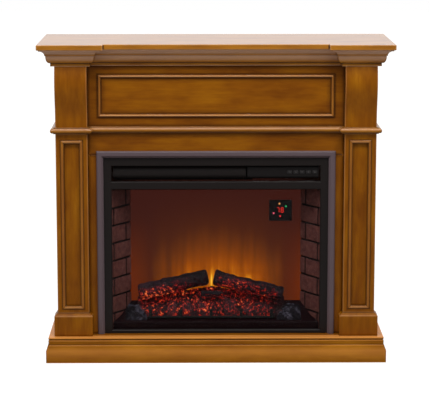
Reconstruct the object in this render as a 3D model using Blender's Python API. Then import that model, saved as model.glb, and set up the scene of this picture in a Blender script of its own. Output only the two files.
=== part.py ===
"""Electric fireplace: a wooden mantel with a breakfront shelf and pilasters, and a metal heater insert.

Metres, +Z up, the front faces -Y. The origin is on the floor, under the middle of the whole piece.
"""
import math

import bmesh
import bpy
from mathutils import Vector

# ---- Overall sizes -----------------------------------------------------------------------------
WIDTH = 1.068
HEIGHT = 0.974
DEPTH = 0.380
GAP = 0.0003
BOARD = 0.018
ROUND_STEPS = 6
TURNED_SIDES = 20
CUT_PAST = 0.010

# ---- Mantel ------------------------------------------------------------------------------------
SHELF_THICKNESS = 0.016
SHELF_OVERHANG = 0.050
SHELF_ARRIS = 0.0015
SHELF_UNDER_BEVEL = 0.0035
CROWN_DROP = 0.051
CROWN_LIP = 0.003
CROWN_COVE_SETBACK = 0.006
CROWN_COVE_HEIGHT = 0.019
CROWN_COVE_FOOT = 0.0264
CROWN_OVOLO_TOP = 0.024
CROWN_FILLET = 0.011
CROWN_FILLET_HEIGHT = 0.008
CROWN_QUIRK = 0.002
BREAKFRONT = 0.025
PILASTER_WIDTH = 0.097
PILASTER_BULGE = 0.018
BULGE_START = 0.12
BULGE_CREST = 0.70
BULGE_NECK_SETBACK = 0.003
FRIEZE_HEIGHT = 0.185
FRIEZE_BEAD_SIDE_MARGIN = 0.030
FRIEZE_BEAD_END_MARGIN = 0.028
BEAD_WIDTH = 0.010
BEAD_PROUD = 0.007
BEAD_FILLET = 0.0014
BEAD_FILLET_RISE = 0.0015
COLLAR_HEIGHT = 0.020
COLLAR_PROJECTION = 0.0145
COLLAR_FLATTENING = 0.003
COLLAR_FILLET = 0.0025
COLLAR_QUIRK = 0.002
HEADER_HEIGHT = 0.0555
STILE_WIDTH = 0.0245
PLINTH_HEIGHT = 0.0707
PLINTH_PROJECTION = 0.010
PLINTH_BEVEL = 0.0085
PLINTH_CROWN = 0.001
PANEL_SIDE_MARGIN = 0.0145
PANEL_TOP_MARGIN = 0.019
PANEL_FOOT_MARGIN = 0.012
PANEL_DEPTH = 0.008
PANEL_BEAD_PROUD = 0.003
BASE_HEIGHT = 0.078
BASE_LOWER_HEIGHT = 0.038
BASE_LOWER_OVERHANG = 0.035
BASE_UPPER_OVERHANG = 0.0276
BASE_WALL = 0.016
BASE_SLOPE = 0.016
BASE_GROOVE_DROP = 0.0065
BASE_GROOVE_HALF = 0.002
BASE_GROOVE_DEPTH = 0.003
BASE_ARRIS = 0.0015
BACK_RAIL_HEIGHT = 0.075

# ---- Insert: trim, face and casing -------------------------------------------------------------
TRIM_WIDTH = 0.021
TRIM_DEPTH = 0.0095
TRIM_ARRIS = 0.003
TRIM_SLOPE = 0.007
TRIM_INNER_EDGE = 0.003
TRIM_LAP = 0.0125
FACE_DEPTH = 0.015
FACE_SIDE_BAR = 0.024
FACE_TOP_BAR = 0.026
FACE_MIDDLE_BAR = 0.024
FACE_FOOT_BAR = 0.0107
FACE_CHAMFER = 0.002
OUTLET_HEIGHT = 0.048
GLASS_THICKNESS = 0.004
GLASS_LAP = 0.008
CASING_DEPTH = 0.200
CASING_INSET = 0.007
CASING_FLANGE = 0.012
SHEET = 0.0015
VENT_COUNT = 9
VENT_WIDTH = 0.040
VENT_HEIGHT = 0.006
VENT_PITCH_Z = 0.014
VENT_ROWS = 3
GLAND_BORE = 0.004
GLAND_BODY = 0.008
GLAND_FLANGE = 0.011
GLAND_LIP = 0.004
GLAND_TAPER = 0.001
GLAND_DEPTH = 0.008
GLAND_FROM_SIDE = 0.070
GLAND_FROM_FLOOR = 0.050
BRACKET_LEG = 0.024
BRACKET_WIDTH = 0.030
BRACKET_SHEET = 0.002

# ---- Insert: firebox ---------------------------------------------------------------------------
FIREBOX_DEPTH = 0.080
FIREBOX_SPLAY = 0.055
BRICK_THICKNESS = 0.006
BRICK_COURSE = 0.055
BRICK_TOP_COURSE = 0.0625
MORTAR_WIDTH = 0.0045
MORTAR_DEPTH = 0.002
CEILING_FALL = 0.020
CEILING_LIFT = 0.002
SCREEN_THICKNESS = 0.002
TRAY_LIP = 0.0195
TRAY_SHELF_RISE = 0.0145
TRAY_SHELF_DEPTH = 0.033
TRAY_BACK_RISE = 0.036
TRAY_WALL = 0.003
TRAY_SETBACK = 0.001
LOG_SET_OFFSET = -0.015
LOG_SET_MARGIN = 0.072
EMBER_END_HEIGHT = 0.020
EMBER_MIDDLE_HEIGHT = 0.050
EMBER_TOE_HEIGHT = 0.003
EMBER_SETBACK = 0.024
EMBER_BACK_GAP = 0.004
EMBER_STATIONS = 9
LOG_RADIUS = 0.0245
LOG_TAPER = 0.78
LOG_GAP = 0.030
LOG_END_MARGIN = 0.002
LOG_CLEARANCE = 0.0095
LOG_TURN = 0.004
LOG_SAG = 0.004
LOG_OUTER_LIFT = 0.0775
LOG_INNER_LIFT = 0.1265
SMALL_LOG_RADIUS = 0.009
SMALL_LOG_LENGTH = 0.066
SMALL_LOG_LIFT = 0.101
SMALL_LOG_SETBACK = 0.035
GRATE_POSTS = 5
GRATE_POST_WIDTH = 0.0095
GRATE_POST_HEIGHT = 0.029
GRATE_BAR = 0.007
GRATE_SETBACK = 0.011
GRATE_END_MARGIN = 0.030
DISPLAY_WIDTH = 0.071
DISPLAY_HEIGHT = 0.066
DISPLAY_DEPTH = 0.004
DISPLAY_SIDE_MARGIN = 0.026
DISPLAY_TOP_MARGIN = 0.030

# ---- Insert: flame effect ----------------------------------------------------------------------
SPINNER_ROD = 0.003
SPINNER_ENGAGEMENT = 0.010
SPINNER_STUB = 0.004
SPINNER_END_MARGIN = 0.012
SPINNER_HEIGHT = 0.072
SPINNER_SETBACK = 0.040
SPINNER_FLAGS = 9
FLAG_REACH = 0.022
FLAG_THICKNESS = 0.0012
FLAG_FILL = 0.62
SPINNER_MOTOR_RADIUS = 0.024
SPINNER_MOTOR_LENGTH = 0.026
SPINNER_MOTOR_BOSS = 0.003
SPINNER_MOTOR_BOSS_RADIUS = 0.0096
SPINNER_FOOT_WIDTH = 0.016
SPINNER_FOOT_THICKNESS = 0.004
BEARING_CLEARANCE = 0.0004
SUPPORT_WIDTH = 0.024
SUPPORT_THICKNESS = 0.003
LED_BOARD_WIDTH = 0.014
LED_BOARD_THICKNESS = 0.0016
LED_SIZE = 0.005
LED_HEIGHT = 0.002
LED_COUNT = 6
EMBER_BOARD_SHARE = 0.55
FLAME_BOARD_SETBACK = 0.0377

# ---- Insert: heater and controls ---------------------------------------------------------------
HOOD_RADIUS = 0.026
HOOD_RECESS = 0.011
HOOD_SLOT = 0.010
HOOD_TUCK = 0.004
PANEL_LENGTH = 0.217
PANEL_RECESS = 0.009
PANEL_FLAT = 0.020
PANEL_LIFT = 0.004
PANEL_SLOT = 0.003
PANEL_TAIL = 0.012
PANEL_SHELL = 0.002
PANEL_END_GAP = 0.005
BUTTON_COUNT = 5
BUTTON_WIDTH = 0.014
BUTTON_HEIGHT = 0.009
BUTTON_SPACING = 0.0052
BUTTON_PROUD = 0.0015
BUTTON_FLANGE = 0.0012
BUTTON_FLANGE_RIM = 0.0015
BUTTON_TRAVEL = 0.0012
BUTTON_END_MARGIN = 0.012
BUTTON_CORNER = 0.002
PCB = 0.0016
PCB_SIDE_MARGIN = 0.006
PCB_HALF_HEIGHT = 0.013
SWITCH_SIZE = 0.006
SWITCH_HEIGHT = 0.0035
SWITCH_CLEARANCE = 0.0008
HEATER_THICKNESS = 0.014
HEATER_HEIGHT = 0.044
HEATER_FINS = 12
HEATER_FRAME = 0.005
HEATER_END_MARGIN = 0.010
HEATER_WINDOW_SHARE = 0.7
WHEEL_RADIUS = 0.021
WHEEL_BLADES = 14
WHEEL_SHAFT = 0.003
WHEEL_DISC = 0.002
WHEEL_END_GAP = 0.003
WHEEL_BLADE_THICKNESS = 0.001
WHEEL_STUB = 0.012
SCROLL_CLEARANCE = 0.004
SCROLL_SHEET = 0.0015
SCROLL_RIM = 0.003
DUCT_LENGTH = 0.034
BLOWER_MOTOR_RADIUS = 0.022
BLOWER_MOTOR_LENGTH = 0.040
BLOWER_MOTOR_SHOULDER = 0.004

# ---- Positions worked out from the sizes -------------------------------------------------------
FRONT = -DEPTH / 2
BACK = DEPTH / 2
BODY_HALF = WIDTH / 2 - SHELF_OVERHANG
PILASTER_FACE = FRONT + SHELF_OVERHANG
SURROUND_FACE = PILASTER_FACE + BREAKFRONT
BOARD_BACK = SURROUND_FACE + BOARD
PILASTER_INNER = BODY_HALF - PILASTER_WIDTH
SHELF_UNDER = HEIGHT - SHELF_THICKNESS
CROWN_BOTTOM = SHELF_UNDER - CROWN_DROP
COLLAR_TOP = CROWN_BOTTOM - FRIEZE_HEIGHT
COLLAR_BOTTOM = COLLAR_TOP - COLLAR_HEIGHT
PLINTH_TOP = BASE_HEIGHT + GAP + PLINTH_HEIGHT
TRIM_TOP = COLLAR_BOTTOM - HEADER_HEIGHT
TRIM_HALF = PILASTER_INNER - STILE_WIDTH
SURROUND_HALF = TRIM_HALF - TRIM_LAP
SURROUND_TOP = TRIM_TOP - TRIM_LAP
INSERT_FOOT = BASE_HEIGHT + GAP
TRIM_BACK = SURROUND_FACE - GAP
FACE_BACK = SURROUND_FACE + FACE_DEPTH
FACE_HALF = SURROUND_HALF - 2 * GAP
FACE_TOP = SURROUND_TOP - 2 * GAP
OPENING_HALF = TRIM_HALF - TRIM_WIDTH - FACE_SIDE_BAR
OUTLET_TOP = TRIM_TOP - TRIM_WIDTH - FACE_TOP_BAR
OUTLET_BOTTOM = OUTLET_TOP - OUTLET_HEIGHT
OPENING_TOP = OUTLET_BOTTOM - FACE_MIDDLE_BAR
OPENING_BOTTOM = INSERT_FOOT + FACE_FOOT_BAR
GLASS_FRONT = FACE_BACK + GAP
GLASS_BACK = GLASS_FRONT + GLASS_THICKNESS
CASING_HALF = FACE_HALF - CASING_INSET
CASING_TOP = FACE_TOP - CASING_INSET
CASING_BACK = GLASS_FRONT + CASING_DEPTH
CASING_FLOOR = INSERT_FOOT + SHEET + GAP
FIREBOX_FRONT = GLASS_BACK + GAP
SCREEN_FRONT = FIREBOX_FRONT + FIREBOX_DEPTH
SCREEN_BACK = SCREEN_FRONT + SCREEN_THICKNESS
SCREEN_HALF = OPENING_HALF - FIREBOX_SPLAY
TRAY_TOP = OPENING_BOTTOM + TRAY_LIP
LOG_SET_HALF = SCREEN_HALF - LOG_SET_MARGIN / 2
SPINNER_Y = SCREEN_BACK + SPINNER_SETBACK
SPINNER_Z = INSERT_FOOT + SPINNER_HEIGHT
SPINNER_HALF = SCREEN_HALF - SPINNER_MOTOR_LENGTH
HEATER_MIDDLE_Z = (OUTLET_TOP + OUTLET_BOTTOM) / 2
HOOD_FRONT = SURROUND_FACE + HOOD_RECESS
PANEL_FRONT = SURROUND_FACE + PANEL_RECESS
PANEL_RIGHT = OPENING_HALF - PANEL_END_GAP
PANEL_LEFT = PANEL_RIGHT - PANEL_LENGTH
HOOD_LEFT = -OPENING_HALF + PANEL_END_GAP
HOOD_RIGHT = PANEL_LEFT - PANEL_END_GAP
HEATER_FRONT = HOOD_FRONT + HOOD_RADIUS
HEATER_BACK = HEATER_FRONT + HEATER_THICKNESS
SCROLL_RADIUS = WHEEL_RADIUS + SCROLL_CLEARANCE
WHEEL_Y = HEATER_BACK + DUCT_LENGTH + SCROLL_RADIUS
BLOWER_LEFT = HOOD_LEFT + BLOWER_MOTOR_LENGTH + 2 * SHEET
BLOWER_RIGHT = HOOD_RIGHT

MATERIALS = {
    "stained_wood": ((0.196, 0.066, 0.012), 0.35, 0.0),
    "dark_bead_wood": ((0.230, 0.088, 0.026), 0.35, 0.0),
    "gunmetal_trim": ((0.105, 0.080, 0.083), 0.35, 0.7),
    "black_steel": ((0.013, 0.010, 0.009), 0.40, 0.4),
    "galvanised_steel": ((0.45, 0.46, 0.47), 0.45, 1.0),
    "clear_glass": ((0.85, 0.88, 0.88), 0.03, 0.0),
    "brick_panel": ((0.050, 0.017, 0.014), 0.85, 0.0),
    "charred_log": ((0.045, 0.028, 0.024), 0.90, 0.0),
    "ember_resin": ((0.420, 0.035, 0.008), 0.60, 0.0),
    "flame_acrylic": ((0.480, 0.160, 0.030), 0.50, 0.0),
    "black_plastic": ((0.012, 0.011, 0.011), 0.50, 0.0),
    "grey_button": ((0.030, 0.028, 0.028), 0.45, 0.0),
    "circuit_board": ((0.020, 0.100, 0.040), 0.50, 0.0),
    "bright_aluminium": ((0.80, 0.80, 0.81), 0.25, 1.0),
    "motor_steel": ((0.30, 0.30, 0.31), 0.40, 0.9),
    "cast_iron": ((0.020, 0.018, 0.017), 0.70, 0.3),
    "gland_rubber": ((0.015, 0.015, 0.015), 0.80, 0.0),
}


# ---- Modelling helpers -------------------------------------------------------------------------
def clear_scene():
    for old in list(bpy.data.objects):
        bpy.data.objects.remove(old, do_unlink=True)


def material(name):
    """The named Principled material, made once."""
    found = bpy.data.materials.get(name)
    if found:
        return found
    colour, roughness, metallic = MATERIALS[name]
    made = bpy.data.materials.new(name)
    made.use_nodes = True
    shader = made.node_tree.nodes["Principled BSDF"]
    shader.inputs["Base Color"].default_value = (*colour, 1.0)
    shader.inputs["Roughness"].default_value = roughness
    shader.inputs["Metallic"].default_value = metallic
    return made


def add(name, mesh, finish):
    """An object that shows the mesh in a finish."""
    made = bpy.data.objects.new(name, mesh)
    bpy.context.scene.collection.objects.link(made)
    if finish:
        mesh.materials.append(material(finish))
    return made


def solid(name, points, faces, finish):
    """An object from points and faces, with its normals turned outwards."""
    bm = bmesh.new()
    corners = [bm.verts.new(point) for point in points]
    for face in faces:
        bm.faces.new([corners[i] for i in face])
    bmesh.ops.recalc_face_normals(bm, faces=bm.faces)
    mesh = bpy.data.meshes.new(name)
    bm.to_mesh(mesh)
    bm.free()
    return add(name, mesh, finish)


def rings_to_faces(rings, count, closed):
    """Side faces between rings of count points each, and end caps unless the rings close on themselves."""
    faces = []
    for ring in range(rings if closed else rings - 1):
        following = (ring + 1) % rings
        for i in range(count):
            j = (i + 1) % count
            here, there = ring * count, following * count
            faces.append((here + i, here + j, there + j, there + i))
    if not closed:
        faces.append(tuple(range(count)))
        faces.append(tuple((rings - 1) * count + i for i in range(count)))
    return faces


def loft(name, rings, finish, closed=False):
    """A solid skinned over rings that all have the same number of points."""
    points = [point for ring in rings for point in ring]
    return solid(name, points, rings_to_faces(len(rings), len(rings[0]), closed), finish)


def box(name, low, high, finish):
    (x0, y0, z0), (x1, y1, z1) = low, high
    foot = [(x0, y0, z0), (x1, y0, z0), (x1, y1, z0), (x0, y1, z0)]
    top = [(x, y, z1) for x, y, _ in foot]
    return loft(name, [foot, top], finish)


def along_x(name, outline, x0, x1, finish):
    """A (y, z) outline carried straight from x0 to x1."""
    return loft(name, [[(x, y, z) for y, z in outline] for x in (x0, x1)], finish)


def along_z(name, outline, z0, z1, finish):
    """An (x, y) outline carried straight up from z0 to z1."""
    return loft(name, [[(x, y, z) for x, y in outline] for z in (z0, z1)], finish)


def arc(centre, radius, start, end, steps=ROUND_STEPS):
    """Points on a circle from start to end, in degrees."""
    turns = [math.radians(start + (end - start) * i / steps) for i in range(steps + 1)]
    return [(centre[0] + radius * math.cos(t), centre[1] + radius * math.sin(t)) for t in turns]


def mitres(path, closed):
    """For each corner of a plan path, the step that offsets it by one unit to the right of travel."""
    steps = []
    count = len(path)
    for i, here in enumerate(path):
        before = path[i - 1] if closed or i > 0 else None
        after = path[(i + 1) % count] if closed or i < count - 1 else None
        sides = []
        for start, end in ((before, here), (here, after)):
            if start is None or end is None:
                continue
            run = Vector((end[0] - start[0], end[1] - start[1])).normalized()
            sides.append(Vector((run.y, -run.x)))
        total = sides[0] if len(sides) == 1 else (sides[0] + sides[1]) / (1 + sides[0].dot(sides[1]))
        steps.append(total)
    return steps


def moulding(name, path, profile, finish, closed=False, place=None):
    """A profile of (offset, height) carried along a plan path, with mitred corners.

    place turns (a, b, height) into x, y, z. Without it the path lies in plan and heights are Z.
    """
    put = place or (lambda a, b, height: (a, b, height))
    rings = []
    for (a, b), step in zip(path, mitres(path, closed)):
        rings.append([put(a + step.x * out, b + step.y * out, height) for out, height in profile])
    return loft(name, rings, finish, closed)


def wall_frame(name, x0, x1, z0, z1, profile, y, finish):
    """A mitred frame on an upright face at y: the profile is (offset inwards, height towards the front)."""
    path = [(x0, z0), (x0, z1), (x1, z1), (x1, z0)]
    return moulding(name, path, profile, finish, True, lambda a, b, height: (a, y - height, b))


def pin_profile(x0, x1, radius):
    """The turned profile of a plain pin along X."""
    return [(x0, 0), (x0, radius), (x1, radius), (x1, 0)]


def turned(name, profile, finish, segments=TURNED_SIDES):
    """A round piece about its own X axis, from a profile of (x, radius) that starts and ends on the axis."""
    inner = profile[1:-1]
    points = [(profile[0][0], 0.0, 0.0), (profile[-1][0], 0.0, 0.0)]
    for x, radius in inner:
        for i in range(segments):
            turn = 2 * math.pi * i / segments
            points.append((x, radius * math.cos(turn), radius * math.sin(turn)))
    faces = []
    last = 2 + (len(inner) - 1) * segments
    for i in range(segments):
        j = (i + 1) % segments
        faces.append((0, 2 + j, 2 + i))
        faces.append((1, last + i, last + j))
        for ring in range(len(inner) - 1):
            base = 2 + ring * segments
            faces.append((base + i, base + j, base + segments + j, base + segments + i))
    made = solid(name, points, faces, finish)
    made.data.shade_smooth()
    made.data.set_sharp_from_angle(angle=math.radians(35))
    return made


def cutter(piece):
    piece.hide_render = True
    piece.display_type = "WIRE"
    return piece


def combine(piece, other, operation):
    """Cuts the other shape from the piece, or joins it on. The other shape is a guide and isn't a part."""
    change = piece.modifiers.new(operation.lower(), "BOOLEAN")
    change.operation = operation
    change.solver = "EXACT"
    change.object = cutter(other)
    return piece


def joined(name, pieces):
    """One mesh object that holds several separate shapes, for use with combine."""
    bm = bmesh.new()
    for piece in pieces:
        piece.data.transform(piece.matrix_world)
        bm.from_mesh(piece.data)
        bpy.data.objects.remove(piece, do_unlink=True)
    mesh = bpy.data.meshes.new(name)
    bm.to_mesh(mesh)
    bm.free()
    return add(name, mesh, None)


def at(piece, place):
    piece.location = place
    bpy.context.view_layer.update()
    return piece


def on_axis(piece, place):
    """Moves a piece's origin to a place on its joint's axis and leaves the piece where it is."""
    piece.data.transform(piece.matrix_world)
    piece.location = place
    for vertex in piece.data.vertices:
        vertex.co -= Vector(place)
    return piece


def both_sides(make, name):
    """Makes a left and a right copy: make(name, sign), with sign -1 on the left."""
    for side, sign in (("left", -1), ("right", 1)):
        make(f"{name}_{side}", sign)


def span(sign, inner, outer):
    """The low and high x of a piece that lies between two distances from the middle, on one side."""
    return (inner, outer) if sign > 0 else (-outer, -inner)


# ---- Mantel ------------------------------------------------------------------------------------
def body_outline():
    """Plan of the mantel's body, from the left back corner round the breakfront to the right back corner."""
    right = [
        (PILASTER_INNER, SURROUND_FACE),
        (PILASTER_INNER, PILASTER_FACE),
        (BODY_HALF, PILASTER_FACE),
        (BODY_HALF, BACK),
    ]
    return [(-x, y) for x, y in reversed(right)] + right


def make_shelf():
    outline = [
        (x + step.x * SHELF_OVERHANG, y + step.y * SHELF_OVERHANG)
        for (x, y), step in zip(body_outline(), mitres(body_outline(), False))
    ]
    stack = (
        (SHELF_UNDER_BEVEL, SHELF_UNDER),
        (0.0, SHELF_UNDER + SHELF_UNDER_BEVEL),
        (0.0, HEIGHT - SHELF_ARRIS),
        (SHELF_ARRIS, HEIGHT),
    )
    corners = list(zip(outline, mitres(outline, False)))
    rings = []
    for inset, z in stack:
        rings.append([(x - step.x * inset, y - step.y * inset, z) for (x, y), step in corners])
    loft("shelf_top", rings, "stained_wood")


def make_crown():
    """Cove, step, ovolo and fillet under the shelf, mitred round the breakfront."""
    top = SHELF_UNDER - GAP
    lip = top - CROWN_LIP
    cove_top = SHELF_OVERHANG - CROWN_COVE_SETBACK
    cove_foot = SHELF_UNDER - CROWN_COVE_HEIGHT
    ovolo_top = cove_foot - CROWN_LIP
    ovolo_foot = CROWN_BOTTOM + CROWN_FILLET_HEIGHT + CROWN_QUIRK
    ovolo_reach = CROWN_OVOLO_TOP - CROWN_FILLET - CROWN_QUIRK
    quarter = [math.pi / 2 * i / ROUND_STEPS for i in range(1, ROUND_STEPS + 1)]
    profile = [(GAP, top), (cove_top, top), (cove_top, lip)]
    for turn in quarter:
        out = cove_top - (cove_top - CROWN_COVE_FOOT) * math.sin(turn)
        profile.append((out, lip - (lip - cove_foot) * (1 - math.cos(turn))))
    profile += [(CROWN_OVOLO_TOP, cove_foot), (CROWN_OVOLO_TOP, ovolo_top)]
    for turn in quarter:
        out = CROWN_OVOLO_TOP - ovolo_reach * (1 - math.cos(turn))
        profile.append((out, ovolo_top - (ovolo_top - ovolo_foot) * math.sin(turn)))
    profile += [(CROWN_FILLET, ovolo_foot), (CROWN_FILLET, CROWN_BOTTOM), (GAP, CROWN_BOTTOM)]
    moulding("crown_moulding", body_outline(), profile, "stained_wood")


def make_frieze():
    half = PILASTER_INNER - GAP
    low = (-half, SURROUND_FACE, COLLAR_BOTTOM + GAP)
    box("frieze_panel", low, (half, BOARD_BACK, SHELF_UNDER - GAP), "stained_wood")
    edge = half - FRIEZE_BEAD_SIDE_MARGIN
    foot = COLLAR_TOP + FRIEZE_BEAD_END_MARGIN
    head = CROWN_BOTTOM - FRIEZE_BEAD_END_MARGIN
    profile = bead_profile(BEAD_PROUD, 0.0)
    wall_frame("frieze_bead", -edge, edge, foot, head, profile, SURROUND_FACE - GAP, "dark_bead_wood")


def bead_profile(proud, sunk):
    """A half-round bead with a flat fillet on each side, sunk below the face by some depth."""
    middle = BEAD_WIDTH / 2
    radius = middle - BEAD_FILLET
    bow = []
    for i in range(ROUND_STEPS + 1):
        turn = math.pi * i / ROUND_STEPS
        height = BEAD_FILLET_RISE + (proud - BEAD_FILLET_RISE) * math.sin(turn)
        bow.append((middle - radius * math.cos(turn), height))
    near = [(0.0, -sunk), (0.0, BEAD_FILLET_RISE)]
    far = [(BEAD_WIDTH, BEAD_FILLET_RISE), (BEAD_WIDTH, -sunk)]
    return near + bow + far


def make_upper_pilaster(name, sign):
    """Block with a front that swells below the crown and runs out straight above the collar."""
    x0, x1 = span(sign, PILASTER_INNER + GAP, BODY_HALF - GAP)
    foot = COLLAR_BOTTOM + GAP
    straight = COLLAR_TOP + FRIEZE_HEIGHT * BULGE_START
    crest = COLLAR_TOP + FRIEZE_HEIGHT * BULGE_CREST
    top = CROWN_BOTTOM - GAP
    neck = CROWN_FILLET - BULGE_NECK_SETBACK
    outline = [(BOARD_BACK, foot), (PILASTER_FACE, foot), (PILASTER_FACE, straight)]
    for i in range(1, 2 * ROUND_STEPS + 1):
        share = i / (2 * ROUND_STEPS)
        swell = PILASTER_BULGE * (1 - math.cos(share * math.pi)) / 2
        outline.append((PILASTER_FACE - swell, straight + (crest - straight) * share))
    for i in range(1, ROUND_STEPS + 1):
        share = i / ROUND_STEPS
        swell = PILASTER_BULGE - (PILASTER_BULGE - neck) * (1 - math.cos(share * math.pi / 2))
        outline.append((PILASTER_FACE - swell, crest + (top - crest) * share))
    outline += [(PILASTER_FACE, top), (PILASTER_FACE, SHELF_UNDER - GAP), (BOARD_BACK, SHELF_UNDER - GAP)]
    piece = along_x(name, outline, x0, x1, "stained_wood")
    piece.data.shade_smooth()
    piece.data.set_sharp_from_angle(angle=math.radians(30))


def make_collar():
    """Astragal between frieze and header, stepping round the pilasters."""
    nose = COLLAR_HEIGHT / 2
    flat = COLLAR_PROJECTION - nose + COLLAR_FLATTENING
    quirk = flat - COLLAR_QUIRK
    middle = (COLLAR_TOP + COLLAR_BOTTOM) / 2
    rise = nose - COLLAR_FILLET
    profile = [(GAP, COLLAR_BOTTOM), (quirk, COLLAR_BOTTOM), (quirk, COLLAR_BOTTOM + COLLAR_FILLET)]
    for i in range(2 * ROUND_STEPS + 1):
        turn = -math.pi / 2 + math.pi * i / (2 * ROUND_STEPS)
        out = flat + (COLLAR_PROJECTION - flat) * math.cos(turn)
        profile.append((out, middle + rise * math.sin(turn)))
    profile += [(quirk, COLLAR_TOP - COLLAR_FILLET), (quirk, COLLAR_TOP), (GAP, COLLAR_TOP)]
    moulding("collar_moulding", body_outline(), profile, "stained_wood")


def panel_edges():
    """The sunk panel's edges on the right pilaster: x0, x1, z0, z1."""
    x0 = PILASTER_INNER + PANEL_SIDE_MARGIN
    x1 = BODY_HALF - PANEL_SIDE_MARGIN
    return x0, x1, PLINTH_TOP + PANEL_FOOT_MARGIN, COLLAR_BOTTOM - PANEL_TOP_MARGIN


def make_lower_pilaster(name, sign):
    x0, x1 = span(sign, PILASTER_INNER + GAP, BODY_HALF - GAP)
    low = (x0, PILASTER_FACE, PLINTH_TOP + GAP)
    piece = box(name, low, (x1, BOARD_BACK, COLLAR_BOTTOM), "stained_wood")
    inner, outer, foot, head = panel_edges()
    a, b = span(sign, inner, outer)
    open_side = (a, PILASTER_FACE - CUT_PAST, foot)
    pocket = box(f"{name}_pocket", open_side, (b, PILASTER_FACE + PANEL_DEPTH, head), None)
    combine(piece, pocket, "DIFFERENCE")


def make_pilaster_bead(name, sign):
    inner, outer, foot, head = panel_edges()
    a, b = span(sign, inner + GAP, outer - GAP)
    profile = bead_profile(PANEL_BEAD_PROUD, PANEL_DEPTH - GAP)
    wall_frame(name, a, b, foot + GAP, head - GAP, profile, PILASTER_FACE, "dark_bead_wood")


def make_surround():
    half = PILASTER_INNER - GAP
    low = (-half, SURROUND_FACE, SURROUND_TOP)
    box("surround_header", low, (half, BOARD_BACK, COLLAR_BOTTOM), "stained_wood")

    def stile(name, sign):
        x0, x1 = span(sign, SURROUND_HALF, half)
        foot = (x0, SURROUND_FACE, BASE_HEIGHT + GAP)
        box(name, foot, (x1, BOARD_BACK, SURROUND_TOP - GAP), "stained_wood")

    both_sides(stile, "surround_stile")


def make_plinth(name, sign):
    """Block round the pilaster's foot, notched at the inner back corner for the surround stile."""
    inner = PILASTER_INNER + GAP

    def plan(out):
        notch = SURROUND_FACE - GAP
        points = [
            (inner - GAP - out, PILASTER_FACE - out),
            (BODY_HALF + out, PILASTER_FACE - out),
            (BODY_HALF + out, BOARD_BACK),
            (inner, BOARD_BACK),
            (inner, notch),
            (inner - GAP - out, notch),
        ]
        return [(sign * x, y) for x, y in points]

    stack = (
        (PLINTH_PROJECTION, BASE_HEIGHT + GAP),
        (PLINTH_PROJECTION, PLINTH_TOP - PLINTH_BEVEL),
        (PLINTH_CROWN, PLINTH_TOP),
    )
    loft(name, [[(x, y, z) for x, y in plan(out)] for out, z in stack], "stained_wood")


def base_outline():
    return [(-BODY_HALF, BACK), (-BODY_HALF, PILASTER_FACE), (BODY_HALF, PILASTER_FACE), (BODY_HALF, BACK)]


def make_base():
    """Two-step base moulding with a rebate that carries the base board."""
    rebate = BASE_HEIGHT - BOARD - GAP
    slope_top = BASE_LOWER_HEIGHT + BASE_SLOPE
    groove = BASE_HEIGHT - BASE_GROOVE_DROP
    outer = BASE_UPPER_OVERHANG
    profile = [
        (-BASE_WALL, 0.0),
        (BASE_LOWER_OVERHANG, 0.0),
        (BASE_LOWER_OVERHANG, BASE_LOWER_HEIGHT),
        (outer + BASE_ARRIS, slope_top),
        (outer, slope_top + BASE_ARRIS),
        (outer, groove - BASE_GROOVE_HALF),
        (outer - BASE_GROOVE_DEPTH, groove),
        (outer, groove + BASE_GROOVE_HALF),
        (outer, BASE_HEIGHT - BASE_ARRIS),
        (outer - BASE_ARRIS, BASE_HEIGHT),
        (GAP, BASE_HEIGHT),
        (GAP, rebate),
        (-BASE_WALL, rebate),
    ]
    moulding("base_moulding", base_outline(), profile, "stained_wood")
    low = (-BODY_HALF, PILASTER_FACE, BASE_HEIGHT - BOARD)
    box("base_board", low, (BODY_HALF, BACK, BASE_HEIGHT), "stained_wood")


def make_carcass():
    def side(name, sign):
        x0, x1 = span(sign, BODY_HALF - BOARD, BODY_HALF)
        low = (x0, BOARD_BACK + GAP, BASE_HEIGHT + GAP)
        box(name, low, (x1, BACK, SHELF_UNDER - GAP), "stained_wood")

    both_sides(side, "side_panel")
    half = BODY_HALF - BOARD - GAP
    top = SHELF_UNDER - GAP
    low = (-half, BACK - BOARD, top - BACK_RAIL_HEIGHT)
    box("back_rail", low, (half, BACK, top), "stained_wood")


# ---- Insert: trim, face and casing -------------------------------------------------------------
def make_trim():
    """Bevelled bar over both sides and the top, mitred at the upper corners."""
    profile = [
        (0.0, 0.0),
        (0.0, TRIM_DEPTH - TRIM_ARRIS),
        (TRIM_ARRIS, TRIM_DEPTH),
        (TRIM_WIDTH - TRIM_SLOPE, TRIM_DEPTH),
        (TRIM_WIDTH, TRIM_INNER_EDGE),
        (TRIM_WIDTH, 0.0),
    ]
    left = [(-TRIM_HALF, INSERT_FOOT), (-TRIM_HALF, TRIM_TOP)]
    right = [(TRIM_HALF, TRIM_TOP), (TRIM_HALF, INSERT_FOOT)]

    def on_face(a, b, height):
        return a, TRIM_BACK - height, b

    moulding("trim_frame", left + right, profile, "gunmetal_trim", False, on_face)


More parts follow.
